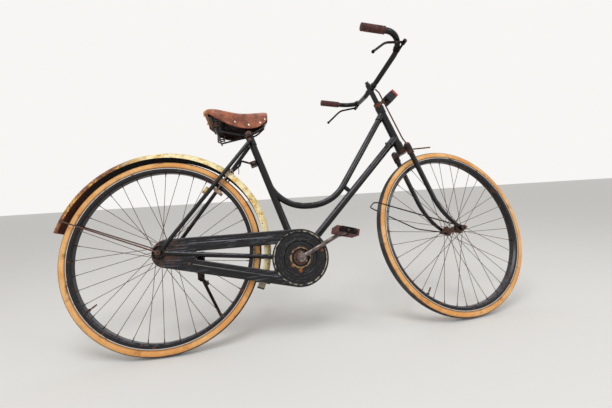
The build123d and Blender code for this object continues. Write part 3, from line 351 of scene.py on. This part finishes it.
# Rims: rolled steel in black enamel, with a thin silver line beside each tyre, and rust where
# the enamel has gone. They keep their CAD shape, as all pieces do that are only painted.
def enamel(paint, colour, rust, scale, dust_and_highlight):
    """Old stove enamel: chips down to rust, dull patches, and a pale bluish top on upward faces
    that is partly a dusty film and partly a painted highlight from above.
    """
    grain = paint.noise(scale * 7, 3)
    patches = paint.noise(scale, 6)
    _, _, up = paint.axes(paint.normal())
    chips = paint.step(patches + grain * 0.22, 0.80 - rust * 0.3, 0.86 - rust * 0.3)
    # Upward faces are painted pale bluish grey: partly a dusty film, partly a painted highlight
    # from above.
    dust_and_highlight_mask = paint.step(up, 0.25, 0.9) * paint.step(paint.noise(scale * 2, 5), 0.32, 0.62) * dust_and_highlight
    rusty = paint.mix(paint.step(grain, 0.35, 0.7), (48, 26, 18), (116, 62, 34))
    colour = paint.mix(chips, paint.mix(dust_and_highlight_mask, colour, (118, 120, 130)), rusty)
    rough = 0.10 + patches * 0.26 + chips * 0.4 + dust_and_highlight_mask * 0.3
    paint.finish(level=0.36)
    return colour, rough, paint.bump(grain * 0.35 - chips * 0.8, 0.0003, 0.4)


def paint_nodes(material, *nodes):
    """Finishes pieces that keep their CAD mesh."""
    for node in nodes:
        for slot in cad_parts[node].material_slots:
            slot.material = material


for end, at in wheels.items():
    paint = Paint(f"{end}_rim_enamel")
    x, _, z = paint.axes(paint.local(at))
    colour, rough, height = enamel(paint, (22, 20, 22), 0.34, 40, 0.35)
    line = paint.band(distance(x, z), 0.3212, 0.3236, 0.0002)
    line = line * paint.step(paint.noise(35, 4), 0.30, 0.42)
    colour = paint.mix(line, colour, (206, 204, 200))
    paint_nodes(paint.finish(colour=colour, rough=rough, normal=height), f"{end}_rim")


# Bare steel of the spokes, hubs, axles and small fittings: dull grey under brown rust. The
# same finish is made with more or less rust.
def steel(name, rust, bright, dark, scale):
    """Steel in two greys, with more rust the nearer that rust is to 1."""
    paint = Paint(name)
    grain = paint.noise(scale * 6, 3)
    patches = paint.noise(scale, 6)
    rusted = paint.step(patches + grain * 0.25, 0.86 - rust * 0.55, 0.96 - rust * 0.55)
    colour = paint.mix(paint.step(patches, 0.35, 0.7), dark, bright)
    rusty = paint.mix(paint.step(grain, 0.3, 0.7), (54, 30, 22), (124, 70, 42))
    return paint.finish(
        colour=paint.mix(rusted, colour, rusty), rough=0.34 + rusted * 0.5,
        metal=0.85 - rusted * 0.8, normal=paint.bump(grain * 0.5 + rusted * patches, 0.0005, 0.6))


spoke_steel = steel("spoke_steel", 0.5, (104, 96, 92), (50, 46, 44), 80)
fitting_steel = steel("fitting_steel", 0.5, (130, 122, 116), (70, 60, 56), 70)
rusty_steel = steel("rusty_steel", 0.9, (84, 70, 64), (50, 38, 34), 60)
crank_steel = steel("crank_steel", 0.3, (140, 130, 126), (78, 68, 64), 60)
pale_steel = steel("pale_steel", 0.4, (196, 182, 168), (120, 104, 94), 70)
black_steel = steel("black_steel", 0.35, (46, 42, 42), (24, 22, 22), 60)
paint_nodes(spoke_steel, "rear_spokes", "front_spokes")
paint_nodes(fitting_steel, "rear_hub", "front_hub", "rear_axle", "front_axle", "mudguard_stays",
            "saddle_clamp", "chain_wheel_boss", "crank_axle", "front_rod_guide", "seat_post")
paint_nodes(black_steel, "stand_leg", "stand_bracket", "left_pedal_frame", "right_pedal_frame",
            "brake_levers", "front_stay_loop", "rear_brake_arm")
paint_nodes(rusty_steel, "head_locknut", "front_brake_rod")
paint_nodes(pale_steel, "rear_brake_stirrup")
paint_nodes(crank_steel, "right_crank", "left_crank")


# Frame: steel tubes brazed into lugs, in one coat of black enamel that is now dull and scratched,
# with a pale top that is partly a dusty film and partly a painted highlight. The fork, bar and
# stays have the same coat.
def plain_enamel(name, *look):
    """The enamel with no other marks on it."""
    paint = Paint(name)
    colour, rough, height = enamel(paint, *look)
    return paint.finish(colour=colour, rough=rough, normal=height)


frame_enamel = plain_enamel("frame_enamel", (13, 13, 16), 0.04, 30, 0.6)
paint_nodes(frame_enamel, "head_tube", "seat_tube", "down_tube", "loop_tube", "tube_strut",
            "crank_shell", "chain_stays", "seat_stays", "rear_fork_ends", "seat_lug",
            "stay_bridge", "chain_stay_bridge", "fork_blades", "handlebar", "saddle_frame",
            "saddle_rear_plate", "stem", "lamp_strap")

# The fork crown and the head's cups have lost most of their enamel and are rust brown.
crown_enamel = plain_enamel("crown_enamel", (22, 18, 18), 0.66, 40, 0.2)
paint_nodes(crown_enamel, "fork_crown", "head_cups")


# Chain case: pressed tin in black enamel, with pale streaks along its arms, partly scuff marks
# and partly painted highlight, and rusty at the back, where the wheel's oil and dirt collect.
paint = Paint("case_enamel")
at = paint.local(leaned)
x, _, z = paint.axes(at)
colour, rough, height = enamel(paint, (15, 14, 18), -0.15, 24, 0.3)
streaks = paint.noise(1.0, 6, paint.vector("MULTIPLY", at, (14, 40, 260)))
# Pale bluish streaks along the arms: partly scuff marks, partly a painted highlight.
scuffs_and_highlights = paint.step(streaks, 0.52, 0.66) * paint.step(paint.noise(9, 3), 0.35, 0.6)
colour = paint.mix(scuffs_and_highlights * 0.6, colour, (122, 126, 140))
dirt = paint.noise(42, 6)
near_axle = paint.step(distance(x, z - wheel_radius) + dirt * 0.09, 0.135, 0.08)
rear = near_axle * paint.step(dirt, 0.36, 0.6)
colour = paint.mix(rear * 0.85, colour, (82, 56, 44))
rough = rough + scuffs_and_highlights * 0.12 + rear * 0.3
paint_nodes(paint.finish(colour=colour, rough=rough, normal=height), "chain_case")

# Its disc has grey circles painted on as highlight, with a pale bead at the edge and a tan one
# round the boss, and three rust stains, given by their place and reach.
crank_x = 0.491
crank_height = 0.291
paint = Paint("case_disc_enamel")
x, _, z = paint.axes(paint.local(leaned @ Matrix.Translation((crank_x, 0, crank_height))))
radius = distance(x, z)
colour, rough, height = enamel(paint, (15, 14, 18), -0.05, 24, 0.25)
broken = paint.noise(70, 6)
# Grey circles about every ten millimetres, painted on as highlight.
ring_highlights = paint.step(paint.maths("SINE", radius * 620.0), 0.6, 1.0)
colour = paint.mix(ring_highlights * paint.step(broken, 0.45, 0.7) * 0.5, colour, (112, 112, 118))
bead = paint.band(radius, 0.0955, 0.0985, 0.0006) * paint.step(broken, 0.42, 0.58)
colour = paint.mix(bead, colour, (184, 172, 150))
boss_ring = paint.band(radius, 0.0335, 0.0385, 0.0008) * paint.step(broken, 0.40, 0.54)
colour = paint.mix(boss_ring, colour, (176, 142, 98))
stain_colour = paint.mix(broken, (96, 48, 20), (196, 116, 44))
for stain_x, stain_z, reach in (
        (-0.031, -0.027, 0.005), (-0.003, -0.043, 0.007), (0.084, 0.022, 0.006)):
    away = distance(x - stain_x, z - stain_z) + broken * 0.034
    colour = paint.mix(paint.step(away, reach + 0.020, reach + 0.012), colour, stain_colour)
rough = rough + bead * 0.2
paint_nodes(paint.finish(colour=colour, rough=rough, normal=height), "chain_case_disc")


# Rear mudguard: a deep rolled steel strip whose paint has weathered. It is cream from the bottom
# bracket over the top, goes rust brown with yellow remains behind, and its inside is painted near
# black as shade.
def looks_outward(paint, outward):
    """Over 0 where the surface looks along a vector of the upright bicycle."""
    look = paint.node("ShaderNodeMapping", {"vector_type": "TEXTURE"}, {
        "Vector": paint.normal(), "Rotation": leaned.to_euler()})
    return paint.vector("DOT_PRODUCT", outward, look, "Value")


guard_centre = 0.35783
paint = Paint("guard_paint")
at = paint.local(wheels["rear"])
x, _, z = paint.axes(at)
angle = paint.maths("ARCTAN2", z, x)
rust = paint.noise(24, 6)
specks = paint.noise(150, 4)
cream = paint.mix(paint.step(rust, 0.42, 0.66), (243, 231, 184), (222, 176, 80))
cream = paint.mix(paint.step(specks + rust * 0.4, 0.77, 0.86), cream, (92, 52, 30))
brown = paint.mix(paint.step(rust, 0.35, 0.65), (92, 44, 26), (150, 92, 52))
brown = paint.mix(paint.step(specks + rust, 1.02, 1.16), brown, (222, 172, 72))
colour = paint.mix(paint.step(angle + rust * 0.7, 2.04, 2.42), cream, brown)
low_end = paint.step(angle + rust * 0.05, -0.30, -0.35)
colour = paint.mix(low_end * 0.8, colour, (104, 98, 94))
colour = paint.mix(paint.step(angle, -0.418, -0.424), colour, (34, 30, 30))
spine = paint.vector("NORMALIZE", paint.vector("MULTIPLY", at, (1, 0, 1)))
spine = paint.vector("MULTIPLY", spine, (guard_centre, guard_centre, guard_centre))
# Faces that look in towards the tyre are painted near black as shade, browner towards the back.
inside = paint.step(looks_outward(paint, paint.vector("SUBTRACT", at, spine)), 0.002, -0.002)
inside_shade = paint.mix(paint.step(angle + rust * 0.4, 2.4, 2.9), (26, 18, 15), (82, 36, 18))
guard_paint = paint.finish(
    colour=paint.mix(inside, colour, inside_shade), rough=0.48 + rust * 0.35,
    normal=paint.bump(specks * 0.6 + rust, 0.0005, 0.5))
paint_nodes(guard_paint, "rear_mudguard")


# Mudguard's lower end: the last 9 degrees of the same strip, below the chain case. It is bent
# round the tyre, with the same half-round section and paint.
lip_radius = 0.02917
lip_wall = 0.0015
lip_start = math.radians(16)
lip_turn = math.radians(9)
lip_half = [math.radians(-84 + 14 * step) for step in range(13)]
section = [(lip_radius, around) for around in lip_half]
section += [(lip_radius - lip_wall, around) for around in lip_half[::-1]]
lip = draw("mudguard_lip", [
    (guard_centre + reach * math.cos(around), reach * math.sin(around), 0)
    for reach, around in section])
bpy.ops.mesh.edge_face_add()
bpy.ops.mesh.select_all(action="SELECT")
bpy.ops.transform.rotate(value=-lip_start, orient_axis="Y", center_override=(0, 0, 0))
bpy.ops.mesh.spin(steps=6, angle=-lip_turn, center=(0, 0, 0), axis=(0, 1, 0))
clean()
settle(lip, wheels["rear"], 50)
dress(lip, guard_paint, "frame", "guard_paint")


# Saddle: one piece of thick leather, moulded over the frame and riveted to it at the back and
# the nose. Its top has sagged and is painted pale, partly as wear and partly as a painted
# highlight from above, and its edges are raw.
# Each station has x, half width, top and edge heights, in millimetres on the upright bicycle.
saddle_stations = [
    (156, 58, 884, 868), (164, 75, 886, 865), (176, 88, 888, 860), (196, 99, 890, 844),
    (222, 97, 889, 828), (244, 86, 889, 819), (270, 70, 889, 815), (292, 56, 890, 814),
    (318, 44, 893, 815), (346, 34, 897, 819), (372, 27, 901, 829), (392, 20.5, 903, 847),
    (402, 16, 903, 861), (407, 11, 901, 868)]
# A station's line, in shares of its half width and of its height, from the edge to the top.
saddle_half = [
    (0.96, 0.0), (1.0, 0.2), (1.0, 0.42), (0.96, 0.64), (0.85, 0.82), (0.64, 0.94), (0.34, 0.99)]
saddle_line = [(-out, up) for out, up in saddle_half] + [(0.0, 1.0)] + saddle_half[::-1]
x, half, top, edge = saddle_stations[0]
leather = draw("saddle_top", [
    (x / 1000, out * half / 1000, (edge + up * (top - edge)) / 1000) for out, up in saddle_line])
for before, after in zip(saddle_stations, saddle_stations[1:]):
    move = ((after[0] - before[0]) / 1000, 0, (after[3] - before[3]) / 1000)
    bpy.ops.mesh.extrude_region_move(TRANSFORM_OT_translate={"value": move})
    grow = (1, after[1] / before[1], (after[2] - after[3]) / (before[2] - before[3]))
    bpy.ops.transform.resize(value=grow, center_override=(after[0] / 1000, 0, after[3] / 1000))
bpy.ops.mesh.edge_face_add()
clean()
bpy.ops.object.mode_set(mode="OBJECT")
hide_thickness = 0.004
thick = leather.modifiers.new("hide", "SOLIDIFY")
thick.thickness = hide_thickness
thick.offset = -1
soften = leather.modifiers.new("moulded", "SUBSURF")
soften.levels = soften.render_levels = 2
bpy.ops.object.modifier_apply(modifier="hide")
bpy.ops.object.modifier_apply(modifier="moulded")
settle(leather, leaned, 60)

paint = Paint("saddle_leather")
at = paint.local(leaned)
x, _, z = paint.axes(at)
grain = paint.node("ShaderNodeTexVoronoi", {"feature": "DISTANCE_TO_EDGE"}, {
    "Vector": at, "Scale": 520.0})
creases = paint.noise(1.0, 6, paint.vector("MULTIPLY", at, (60, 26, 90)))
patches = paint.noise(30, 5)
colour = paint.mix(paint.step(patches, 0.35, 0.68), (108, 54, 34), (176, 98, 62))
# The top is painted pale, partly as wear and partly as a painted highlight from above.
worn_and_lit_top = paint.step(z + patches * 0.03, 0.886, 0.912) * paint.step(x, 0.17, 0.25)
colour = paint.mix(worn_and_lit_top * 0.5, colour, (196, 142, 128))
# Darker along the creases, as painted shade in them.
colour = paint.mix(paint.step(creases, 0.55, 0.68) * 0.65, colour, (76, 36, 26))
colour = paint.mix(paint.step(paint.noise(70, 4), 0.6, 0.7), colour, (64, 34, 26))
back = paint.step(x + patches * 0.03, 0.196, 0.184)
colour = paint.mix(back, colour, (206, 126, 26))
# The leather's face underneath, which looks at the line along the saddle's middle, is painted dark
# as shade.
middle_height = 0.84
middle = paint.node("ShaderNodeCombineXYZ", {}, {0: x, 1: 0.0, 2: middle_height})
inner_shade = paint.step(looks_outward(paint, paint.vector("SUBTRACT", at, middle)), 0.004, -0.004)
colour = paint.mix(inner_shade * (1 - back * 0.7), colour, (46, 26, 20))
height = paint.step(grain, 0.0, 0.22) * 0.5 - paint.step(creases, 0.58, 0.72)
old_leather = paint.finish(
    colour=colour, rough=0.26 + patches * 0.26, coat=0.12, normal=paint.bump(height, 0.0005, 0.6))
dress(leather, old_leather, "frame", "leather", "saddle_leather")


# Saddle rivets: copper heads hammered flat over the leather, worn bright. One is turned and
# set down in pairs, left and right.
def facing(point, direction):
    """A place at a point, its Z pointing in a direction."""
    look = Vector(direction).to_track_quat("Z", "Y").to_matrix().to_4x4()
    return Matrix.Translation(point) @ look


def joined(name, parts):
    """Several pieces, each already set in place, as one."""
    bpy.ops.object.select_all(action="DESELECT")
    for part in parts:
        part.select_set(True)
    bpy.context.view_layer.objects.active = parts[0]
    bpy.ops.object.join()
    whole = bpy.context.object
    whole.name = name
    return whole


def turned(name, line, steps):
    """A body turned round Z, from its radius and height along a line."""
    body = draw(name, [(radius, 0, height) for radius, height in line])
    turn(steps, (0, 0, 1))
    return body


def repeated(name, model, places, smooth=35):
    """A copy of the model at each place, all as one piece. The model itself goes."""
    bpy.ops.object.mode_set(mode="OBJECT")
    copies = []
    for at in places:
        copy = model.copy()
        copy.data = model.data.copy()
        bpy.context.scene.collection.objects.link(copy)
        copies.append(settle(copy, at, smooth))
    bpy.data.objects.remove(model)
    return joined(name, copies)


# x, side and height in millimetres, and the way that the head faces
rivet_table = [
    ((279, 64.5, 833), (0.45, 0.86, 0.1)), ((330, 39.8, 831), (0.3, 0.92, -0.1)),
    ((376, 25.1, 847.5), (0.3, 0.92, 0.1)), ((395, 18.8, 866), (0.55, 0.8, 0.2)),
    ((161, 62, 878), (-0.95, 0.25, 0.25)), ((155.5, 34, 879), (-1, 0.05, 0.2))]
rivet_places = []
for (x, y, z), (way_x, way_y, way_z) in rivet_table:
    for side in (-1, 1):
        point = Vector((x / 1000, side * y / 1000, z / 1000))
        rivet_places.append(leaned @ facing(point, (way_x, side * way_y, way_z)))
rivet = turned("rivet", [
    (0, 0.0022), (0.0022, 0.002), (0.0040, 0.0012), (0.0047, 0.0001), (0.0047, -0.0012),
    (0, -0.0012)], 14)
paint = Paint("worn_copper")
patches = paint.noise(60, 4)
colour = paint.mix(paint.step(patches, 0.35, 0.65), (214, 180, 158), (240, 220, 206))
copper = paint.finish(colour=colour, rough=0.3 + patches * 0.2, metal=0.8)
dress(repeated("saddle_rivets", rivet, rivet_places), copper, "frame", "worn_steel")


# Saddle springs: two compression coils of black spring wire, between the saddle's back plate
# and the bar across its rails. A ring of the wire's size is wound up with a screw.
spring_radius = 0.017
spring_wire = 0.0028
spring_height = 0.046
spring_turns = 4.5
steps_to_turn = 20
spring_foot = (0.206, 0.062, 0.803)
coil = begin("spring_coil", bpy.ops.mesh.primitive_circle_add, vertices=8, radius=spring_wire)
bpy.ops.transform.rotate(value=math.pi / 2, orient_axis="X", center_override=(0, 0, 0))
bpy.ops.transform.translate(value=(spring_radius - spring_wire, 0, spring_wire))
bpy.ops.object.mode_set(mode="OBJECT")
wind = coil.modifiers.new("wound", "SCREW")
wind.angle = spring_turns * math.tau
wind.screw_offset = spring_height - 2 * spring_wire
wind.steps = wind.render_steps = int(spring_turns * steps_to_turn)
bpy.ops.object.modifier_apply(modifier="wound")
bpy.ops.object.mode_set(mode="EDIT")
clean(fill=True)
x, y, z = spring_foot
coil_places = [leaned @ Matrix.Translation((x, side * y, z)) for side in (-1, 1)]
spring_enamel = plain_enamel("spring_enamel", (30, 27, 26), 0.6, 60, 0.3)
dress(repeated("saddle_coils", coil, coil_places, 60), spring_enamel, "frame", "black_paint",
      "saddle_springs")


# Grips: ribbed rubber, pushed on the bar's ends, gone hard and red-brown with age. One is
# turned from its radius and its distance from the bar's end, in millimetres.
grip_line = [(0, -4.5), (11, -4.5), (14, -3.4), (14.5, -1.5), (14.5, 2.5), (12.9, 4.5)]
for rib in range(13):
    start = 7.0 + rib * 6.0
    grip_line += [(12.9, start), (14.4, start + 0.9), (14.4, start + 3.2), (12.9, start + 4.1)]
grip_line += [(13.2, 88), (14.5, 89), (14.5, 92), (12, 93), (11.3, 93), (11.3, -0.3), (0, -0.3)]
grip = turned("grip", [(radius / 1000, out / 1000) for radius, out in grip_line], 28)
bar_end = (-0.111, 0.240, 0.833)
bar_corner = (0.072, 0.244, 0.768)
grip_places = []
for side in (-1, 1):
    end, corner = (Vector((x, side * y, z)) for x, y, z in (bar_end, bar_corner))
    grip_places.append(steered @ facing(end, corner - end))
paint = Paint("grip_rubber")
patches = paint.noise(50, 5)
colour = paint.mix(paint.step(patches, 0.35, 0.7), (52, 26, 26), (104, 58, 52))
grip_rubber = paint.finish(colour=colour, rough=0.5 + patches * 0.3,
                           normal=paint.bump(paint.noise(400, 2), 0.0003, 0.4))
dress(repeated("bar_grips", grip, grip_places, 40), grip_rubber, "steering", "grip_rubber",
      "grips")


# Lamp: a moulded black battery lamp with rounded edges and a sunk panel on each side, and a
# curved red lens with ribs, on a strap from the stem.
def box(name, size, centre=(0, 0, 0)):
    """A box with its size in its mesh, all selected in edit mode."""
    piece = begin(name, bpy.ops.mesh.primitive_cube_add, size=1, location=centre, scale=size)
    bpy.ops.object.mode_set(mode="OBJECT")
    bpy.ops.object.transform_apply(location=True, rotation=True, scale=True)
    bpy.ops.object.mode_set(mode="EDIT")
    return piece


lamp_tilt = math.radians(-23)
lamp_place = steered @ Matrix.Translation((0.074, 0, 0.648)) @ Matrix.Rotation(lamp_tilt, 4, "Y")
lamp_size = (0.053, 0.042, 0.040)
lamp_round = 0.0055
panel_edge = 0.003
panel_sink = 0.0008
lamp_body = box("lamp_case", lamp_size, (-0.0025, 0, 0))
bpy.ops.mesh.bevel(offset=lamp_round, segments=4, affect="EDGES")
bpy.ops.mesh.select_all(action="DESELECT")
bpy.ops.object.mode_set(mode="OBJECT")
for face in lamp_body.data.polygons:
    face.select = abs(face.normal.y) > 0.99 or abs(face.normal.z) > 0.99
bpy.ops.object.mode_set(mode="EDIT")
bpy.ops.mesh.inset(thickness=panel_edge, depth=0.0)
bpy.ops.mesh.inset(thickness=panel_sink, depth=-panel_sink)
settle(lamp_body, lamp_place, 40)
paint = Paint("lamp_plastic")
patches = paint.noise(40, 4)
colour = paint.mix(paint.step(patches, 0.45, 0.75), (10, 10, 13), (30, 29, 34))
lamp_plastic = paint.finish(colour=colour, rough=0.22 + patches * 0.2, level=0.4,
                            normal=paint.bump(paint.noise(900, 2), 0.0002, 0.4))
dress(lamp_body, lamp_plastic, "steering", "lamp_plastic", "lamp_body")

lens_deep, lens_wide, lens_high = 0.016, 0.0405, 0.0385
lens_crown = 0.0045
lens_ahead = 0.0300
lens = box("lamp_lens_cover", (lens_deep, lens_wide, lens_high))
bpy.ops.mesh.subdivide(number_cuts=9)
bpy.ops.object.mode_set(mode="OBJECT")
for point in lens.data.vertices:
    out = max(abs(point.co.y) / (lens_wide / 2), abs(point.co.z) / (lens_high / 2))
    if point.co.x > 0:
        point.co.x -= lens_crown * out ** 2
soften = lens.modifiers.new("moulded", "SUBSURF")
soften.levels = soften.render_levels = 1
bpy.ops.object.modifier_apply(modifier="moulded")
settle(lens, lamp_place @ Matrix.Translation((lens_ahead, 0, 0)), 60)
paint = Paint("red_lens")
_, y, _ = paint.axes(paint.local(lamp_place))
ribs = paint.maths("SINE", y * 2400.0)
colour = paint.mix(paint.step(paint.noise(60, 3), 0.35, 0.7), (170, 14, 22), (204, 34, 36))
red_lens = paint.finish(colour=colour, rough=0.12, coat=0.5,
                        normal=paint.bump(ribs, 0.0004, 0.5))
dress(lens, red_lens, "steering", "red_lens", "lamp_lens")


# Pedal blocks: ribbed red-brown rubber, two to a pedal, held between the end plates. Each is
# drawn out along the spindle: a worn end, then ribs with grooves between.
block_wide = 0.030
block_high = 0.022
block_start = -0.0457
end_run = 0.002
end_share = 0.86
rib_run = 0.0055
flank_run = 0.0004
groove_run = 0.0036
groove_wide = 0.96
groove_high = 0.76
groove_count = 9
same = (1, 1, 1)
pedal_steps = [(end_run, (1 / end_share, 1, 1 / end_share)), (rib_run, same)]
for _ in range(groove_count):
    pedal_steps += [
        (flank_run, (groove_wide, 1, groove_high)), (groove_run - 2 * flank_run, same),
        (flank_run, (1 / groove_wide, 1, 1 / groove_high)), (rib_run, same)]
pedal_steps.append((end_run, (end_share, 1, end_share)))
block_offset = 0.0243
block_middle = 0.144
pedal_tilt = math.radians(15)
pedal_spots = {"right": (0.6444395, -1, 0.3641869), "left": (0.3375605, 1, 0.2178131)}
paint = Paint("pedal_rubber")
patches = paint.noise(60, 5)
colour = paint.mix(paint.step(patches, 0.35, 0.7), (74, 38, 34), (118, 72, 66))
colour = paint.mix(paint.step(paint.noise(130, 3), 0.62, 0.72), colour, (60, 36, 32))
pedal_rubber = paint.finish(colour=colour, rough=0.62 + patches * 0.2,
                            normal=paint.bump(patches, 0.0006, 0.5))
for word, (x, side, z) in pedal_spots.items():
    block = begin("block", bpy.ops.mesh.primitive_plane_add, size=1)
    bpy.ops.transform.resize(value=(block_wide * end_share, block_high * end_share, 1),
                             center_override=(0, 0, 0))
    bpy.ops.transform.rotate(value=math.pi / 2, orient_axis="X", center_override=(0, 0, 0))
    reach = block_start
    bpy.ops.transform.translate(value=(0, reach, 0))
    for run, grow in pedal_steps:
        reach += run
        bpy.ops.mesh.extrude_region_move(TRANSFORM_OT_translate={"value": (0, run, 0)})
        bpy.ops.transform.resize(value=grow, center_override=(0, reach, 0))
    clean()
    pedal = leaned @ Matrix.Translation((x, 0, z)) @ Matrix.Rotation(pedal_tilt, 4, "Y")
    places = [pedal @ Matrix.Translation((offset, side * block_middle, 0))
              for offset in (-block_offset, block_offset)]
    dress(repeated(f"{word}_pedal_rubbers", block, places, 30), pedal_rubber, f"{word}_pedal",
          "pedal_rubber", f"{word}_pedal_blocks")


# Brake pads and peg: two grey-cream rubber blocks in the rear stirrup, and a cream peg with
# worn paint on the right seat stay.
paint = Paint("pad_rubber")
patches = paint.noise(70, 5)
colour = paint.mix(paint.step(patches, 0.35, 0.65), (150, 116, 98), (186, 160, 138))
pad_rubber = paint.finish(colour=colour, rough=0.8, normal=paint.bump(patches, 0.0006, 0.6))
paint_nodes(pad_rubber, "rear_brake_pads")
paint = Paint("peg_paint")
patches = paint.noise(60, 5)
colour = paint.mix(paint.step(patches, 0.4, 0.6), (208, 178, 112), (150, 108, 58))
peg_paint = paint.finish(colour=colour, rough=0.6, normal=paint.bump(patches, 0.0005, 0.5))
paint_nodes(peg_paint, "stay_peg")


# Spoke nipples and valves: a nipple draws each spoke to the rim, and a valve stem with its cap
# stands between two of them. Each nipple points along its spoke, from the rim to the hub.
spoke_count = 36
spoke_lead = 60
rim_inside = 0.306
valve_turn = math.radians(215)
nipple_line = [
    (0, 0.012), (0.0012, 0.012), (0.0016, 0.0115), (0.0019, 0.004), (0.0023, 0.003),
    (0.0024, 0.0), (0, 0)]
valve_line = [
    (0, 0.034), (0.0024, 0.034), (0.0028, 0.031), (0.0028, 0.021), (0.0034, 0.021),
    (0.0034, 0.019), (0.0026, 0.018), (0.0026, 0.008), (0.0056, 0.008), (0.0056, 0.005),
    (0.0030, 0.004), (0.0030, 0.0), (0, 0)]
# each hub's right and left flange beside the wheel's middle, and the radius of its spoke holes
hub_table = {"rear": (-0.023, 0.030, 0.024), "front": (-0.033, 0.033, 0.018)}
for end, at in wheels.items():
    right_flange, left_flange, circle = hub_table[end]
    places = []
    for number in range(spoke_count):
        side = -1 if number % 2 == 0 else 1
        flange = right_flange if side < 0 else left_flange
        trailing = number % 4 < 2
        at_rim = math.radians(number * 360 / spoke_count)
        at_hub = at_rim + math.radians(spoke_lead if trailing else -spoke_lead)
        # a trailing spoke stands farther out than its neighbour, at the rim and at the flange
        rim_y = side * (0.0035 if trailing else 0.0012)
        hub_y = flange + side * (0.0027 if trailing else -0.0027)
        foot = Vector((rim_inside * math.cos(at_rim), rim_y, rim_inside * math.sin(at_rim)))
        hub = Vector((circle * math.cos(at_hub), hub_y, circle * math.sin(at_hub)))
        places.append(at @ facing(foot, hub - foot))
    nipples = repeated("nipples", turned("nipple", nipple_line, 8), places)
    spot = Vector((rim_inside * math.cos(valve_turn), 0, rim_inside * math.sin(valve_turn)))
    valve = settle(turned("valve", valve_line, 12), at @ facing(spot, -spot))
    dress(joined(f"{end}_nipples", [nipples, valve]), fitting_steel, f"{end}_wheel", "rust_steel")


# Nuts and bolts: rusty hexagon nuts with the bolt's end showing, on the clamps, pivots, cranks
# and pedals. They are forged and chamfered, and each sits on the face that it holds.
def nut(at, flats, thick, stud, proud):
    """A chamfered nut with a stud's rounded end, seated at a place and facing its Z."""
    hexagon = begin("nut", bpy.ops.mesh.primitive_cylinder_add, vertices=6,
                    radius=flats / math.sqrt(3), depth=thick, location=(0, 0, thick / 2))
    bpy.ops.mesh.bevel(offset=flats * 0.05, segments=2, affect="EDGES")
    settle(hexagon, at, 30)
    tip = thick + proud
    shank = turned("stud", [
        (0, tip), (stud * 0.7, tip), (stud, thick + proud * 0.6), (stud, 0), (0, 0)], 14)
    return joined("nut", [hexagon, settle(shank, at, 40)])


def nuts_on(frame_place, table):
    """The nuts of a table, which is in millimetres."""
    nuts = []
    for spot, way, *sizes in table:
        at = frame_place @ facing(Vector(spot) / 1000, way)
        nuts.append(nut(at, *(size / 1000 for size in sizes)))
    return nuts


# where, which way, across flats, thickness, stud radius, how far it stands out
frame_nuts = [
    ((328.8, -31.5, 770.4), (0, -1, 0), 12, 5, 3.6, 3),
    ((328.8, 31.5, 770.4), (0, 1, 0), 12, 4, 3.6, 0.5),
    ((326.0, -27, 802), (0, -1, 0), 14, 6, 4, 4), ((326.0, 27, 802), (0, 1, 0), 14, 6, 4, 3),
    ((-335.5, -34.2, 489.0), (0, -1, 0), 9, 3, 2.4, 2),
    ((-335.5, 34.2, 489.0), (0, 1, 0), 9, 3, 2.4, 2),
    ((338.3, -13, 678.9), (0, -1, 0), 11, 4, 3, 3), ((338.3, 13, 678.9), (0, 1, 0), 11, 4, 3, 3),
    ((908.3, -10.4, 738.8), (-0.457, -0.77, 0.438), 9, 6, 3.4, 4),
    ((72, -56, 371.5), (0, -1, 0), 8, 1.6, 2, 1), ((100, -56, 303), (0, -1, 0), 8, 1.6, 2, 1)]
steering_nuts = [
    ((0, 0, 744), (0, 0, 1), 15, 7, 4, 1), ((55, -234, 751), (0, -1, 0), 9, 3, 2.6, 2),
    ((55, 234, 751), (0, 1, 0), 9, 3, 2.6, 2), ((38, 0, 637.3), (0, 0, 1), 9, 3.5, 2.6, 2)]
dress(joined("frame_nuts", nuts_on(leaned, frame_nuts)), fitting_steel, "frame", "worn_steel")
dress(joined("steering_nuts", nuts_on(steered, steering_nuts)), fitting_steel, "steering",
      "worn_steel")

# Each crank has its cotter's nut at its side and a thin nut on the axle's end.
crank_turn = math.radians(25.5)
crank_side = 0.077
cotter_from_axle = 0.009
cotter_seat = 0.018
axle_end = 0.088
crank_nuts = []
for side in (-1, 1):
    along = Vector((-side * math.cos(crank_turn), 0, -side * math.sin(crank_turn)))
    cross = Vector((-along.z, 0, along.x))
    seat = Vector((crank_x, side * crank_side, crank_height))
    seat = seat + along * cotter_from_axle - cross * cotter_seat
    end = Vector((crank_x, side * axle_end, crank_height))
    crank_nuts.append(nut(leaned @ facing(seat, -cross), 0.011, 0.004, 0.003, 0.003))
    crank_nuts.append(nut(leaned @ facing(end, (0, side, 0)), 0.013, 0.0015, 0.004, 0.0008))
dress(joined("crank_nuts", crank_nuts), crank_steel, "crank", "worn_steel")
spindle_end = 0.193
for word, (x, side, z) in pedal_spots.items():
    at = leaned @ facing((x, side * spindle_end, z), (0, side, 0))
    cap = nut(at, 0.012, 0.0028, 0.0045, 0.0012)
    cap.name = f"{word}_pedal_nut"
    dress(cap, fitting_steel, f"{word}_pedal", "worn_steel")


# Loose wire: the rusty end of the old brake rod hangs from the brake arm behind the seat tube.
# Its points are in millimetres on the upright bicycle.
wire_points = [(281, 2, 684), (277, 3, 670), (279, 2, 655), (277, 3, 640)]
wire_radius = 0.0016
bpy.ops.object.select_all(action="DESELECT")
bpy.ops.curve.primitive_nurbs_path_add()
wire = bpy.context.object
wire.name = "brake_wire_end"
wire.data.splines.clear()
spline = wire.data.splines.new("NURBS")
spline.points.add(len(wire_points) - 1)
for point, (x, y, z) in zip(spline.points, wire_points):
    point.co = (x / 1000, y / 1000, z / 1000, 1)
spline.order_u = 3
spline.use_endpoint_u = True
wire.data.bevel_depth = wire_radius
wire.data.bevel_resolution = 2
wire.data.use_fill_caps = True
bpy.ops.object.convert(target="MESH")
bpy.ops.object.mode_set(mode="EDIT")
clean(fill=True)
dress(settle(bpy.context.object, leaned, 60), fitting_steel, "frame", "rust_steel")
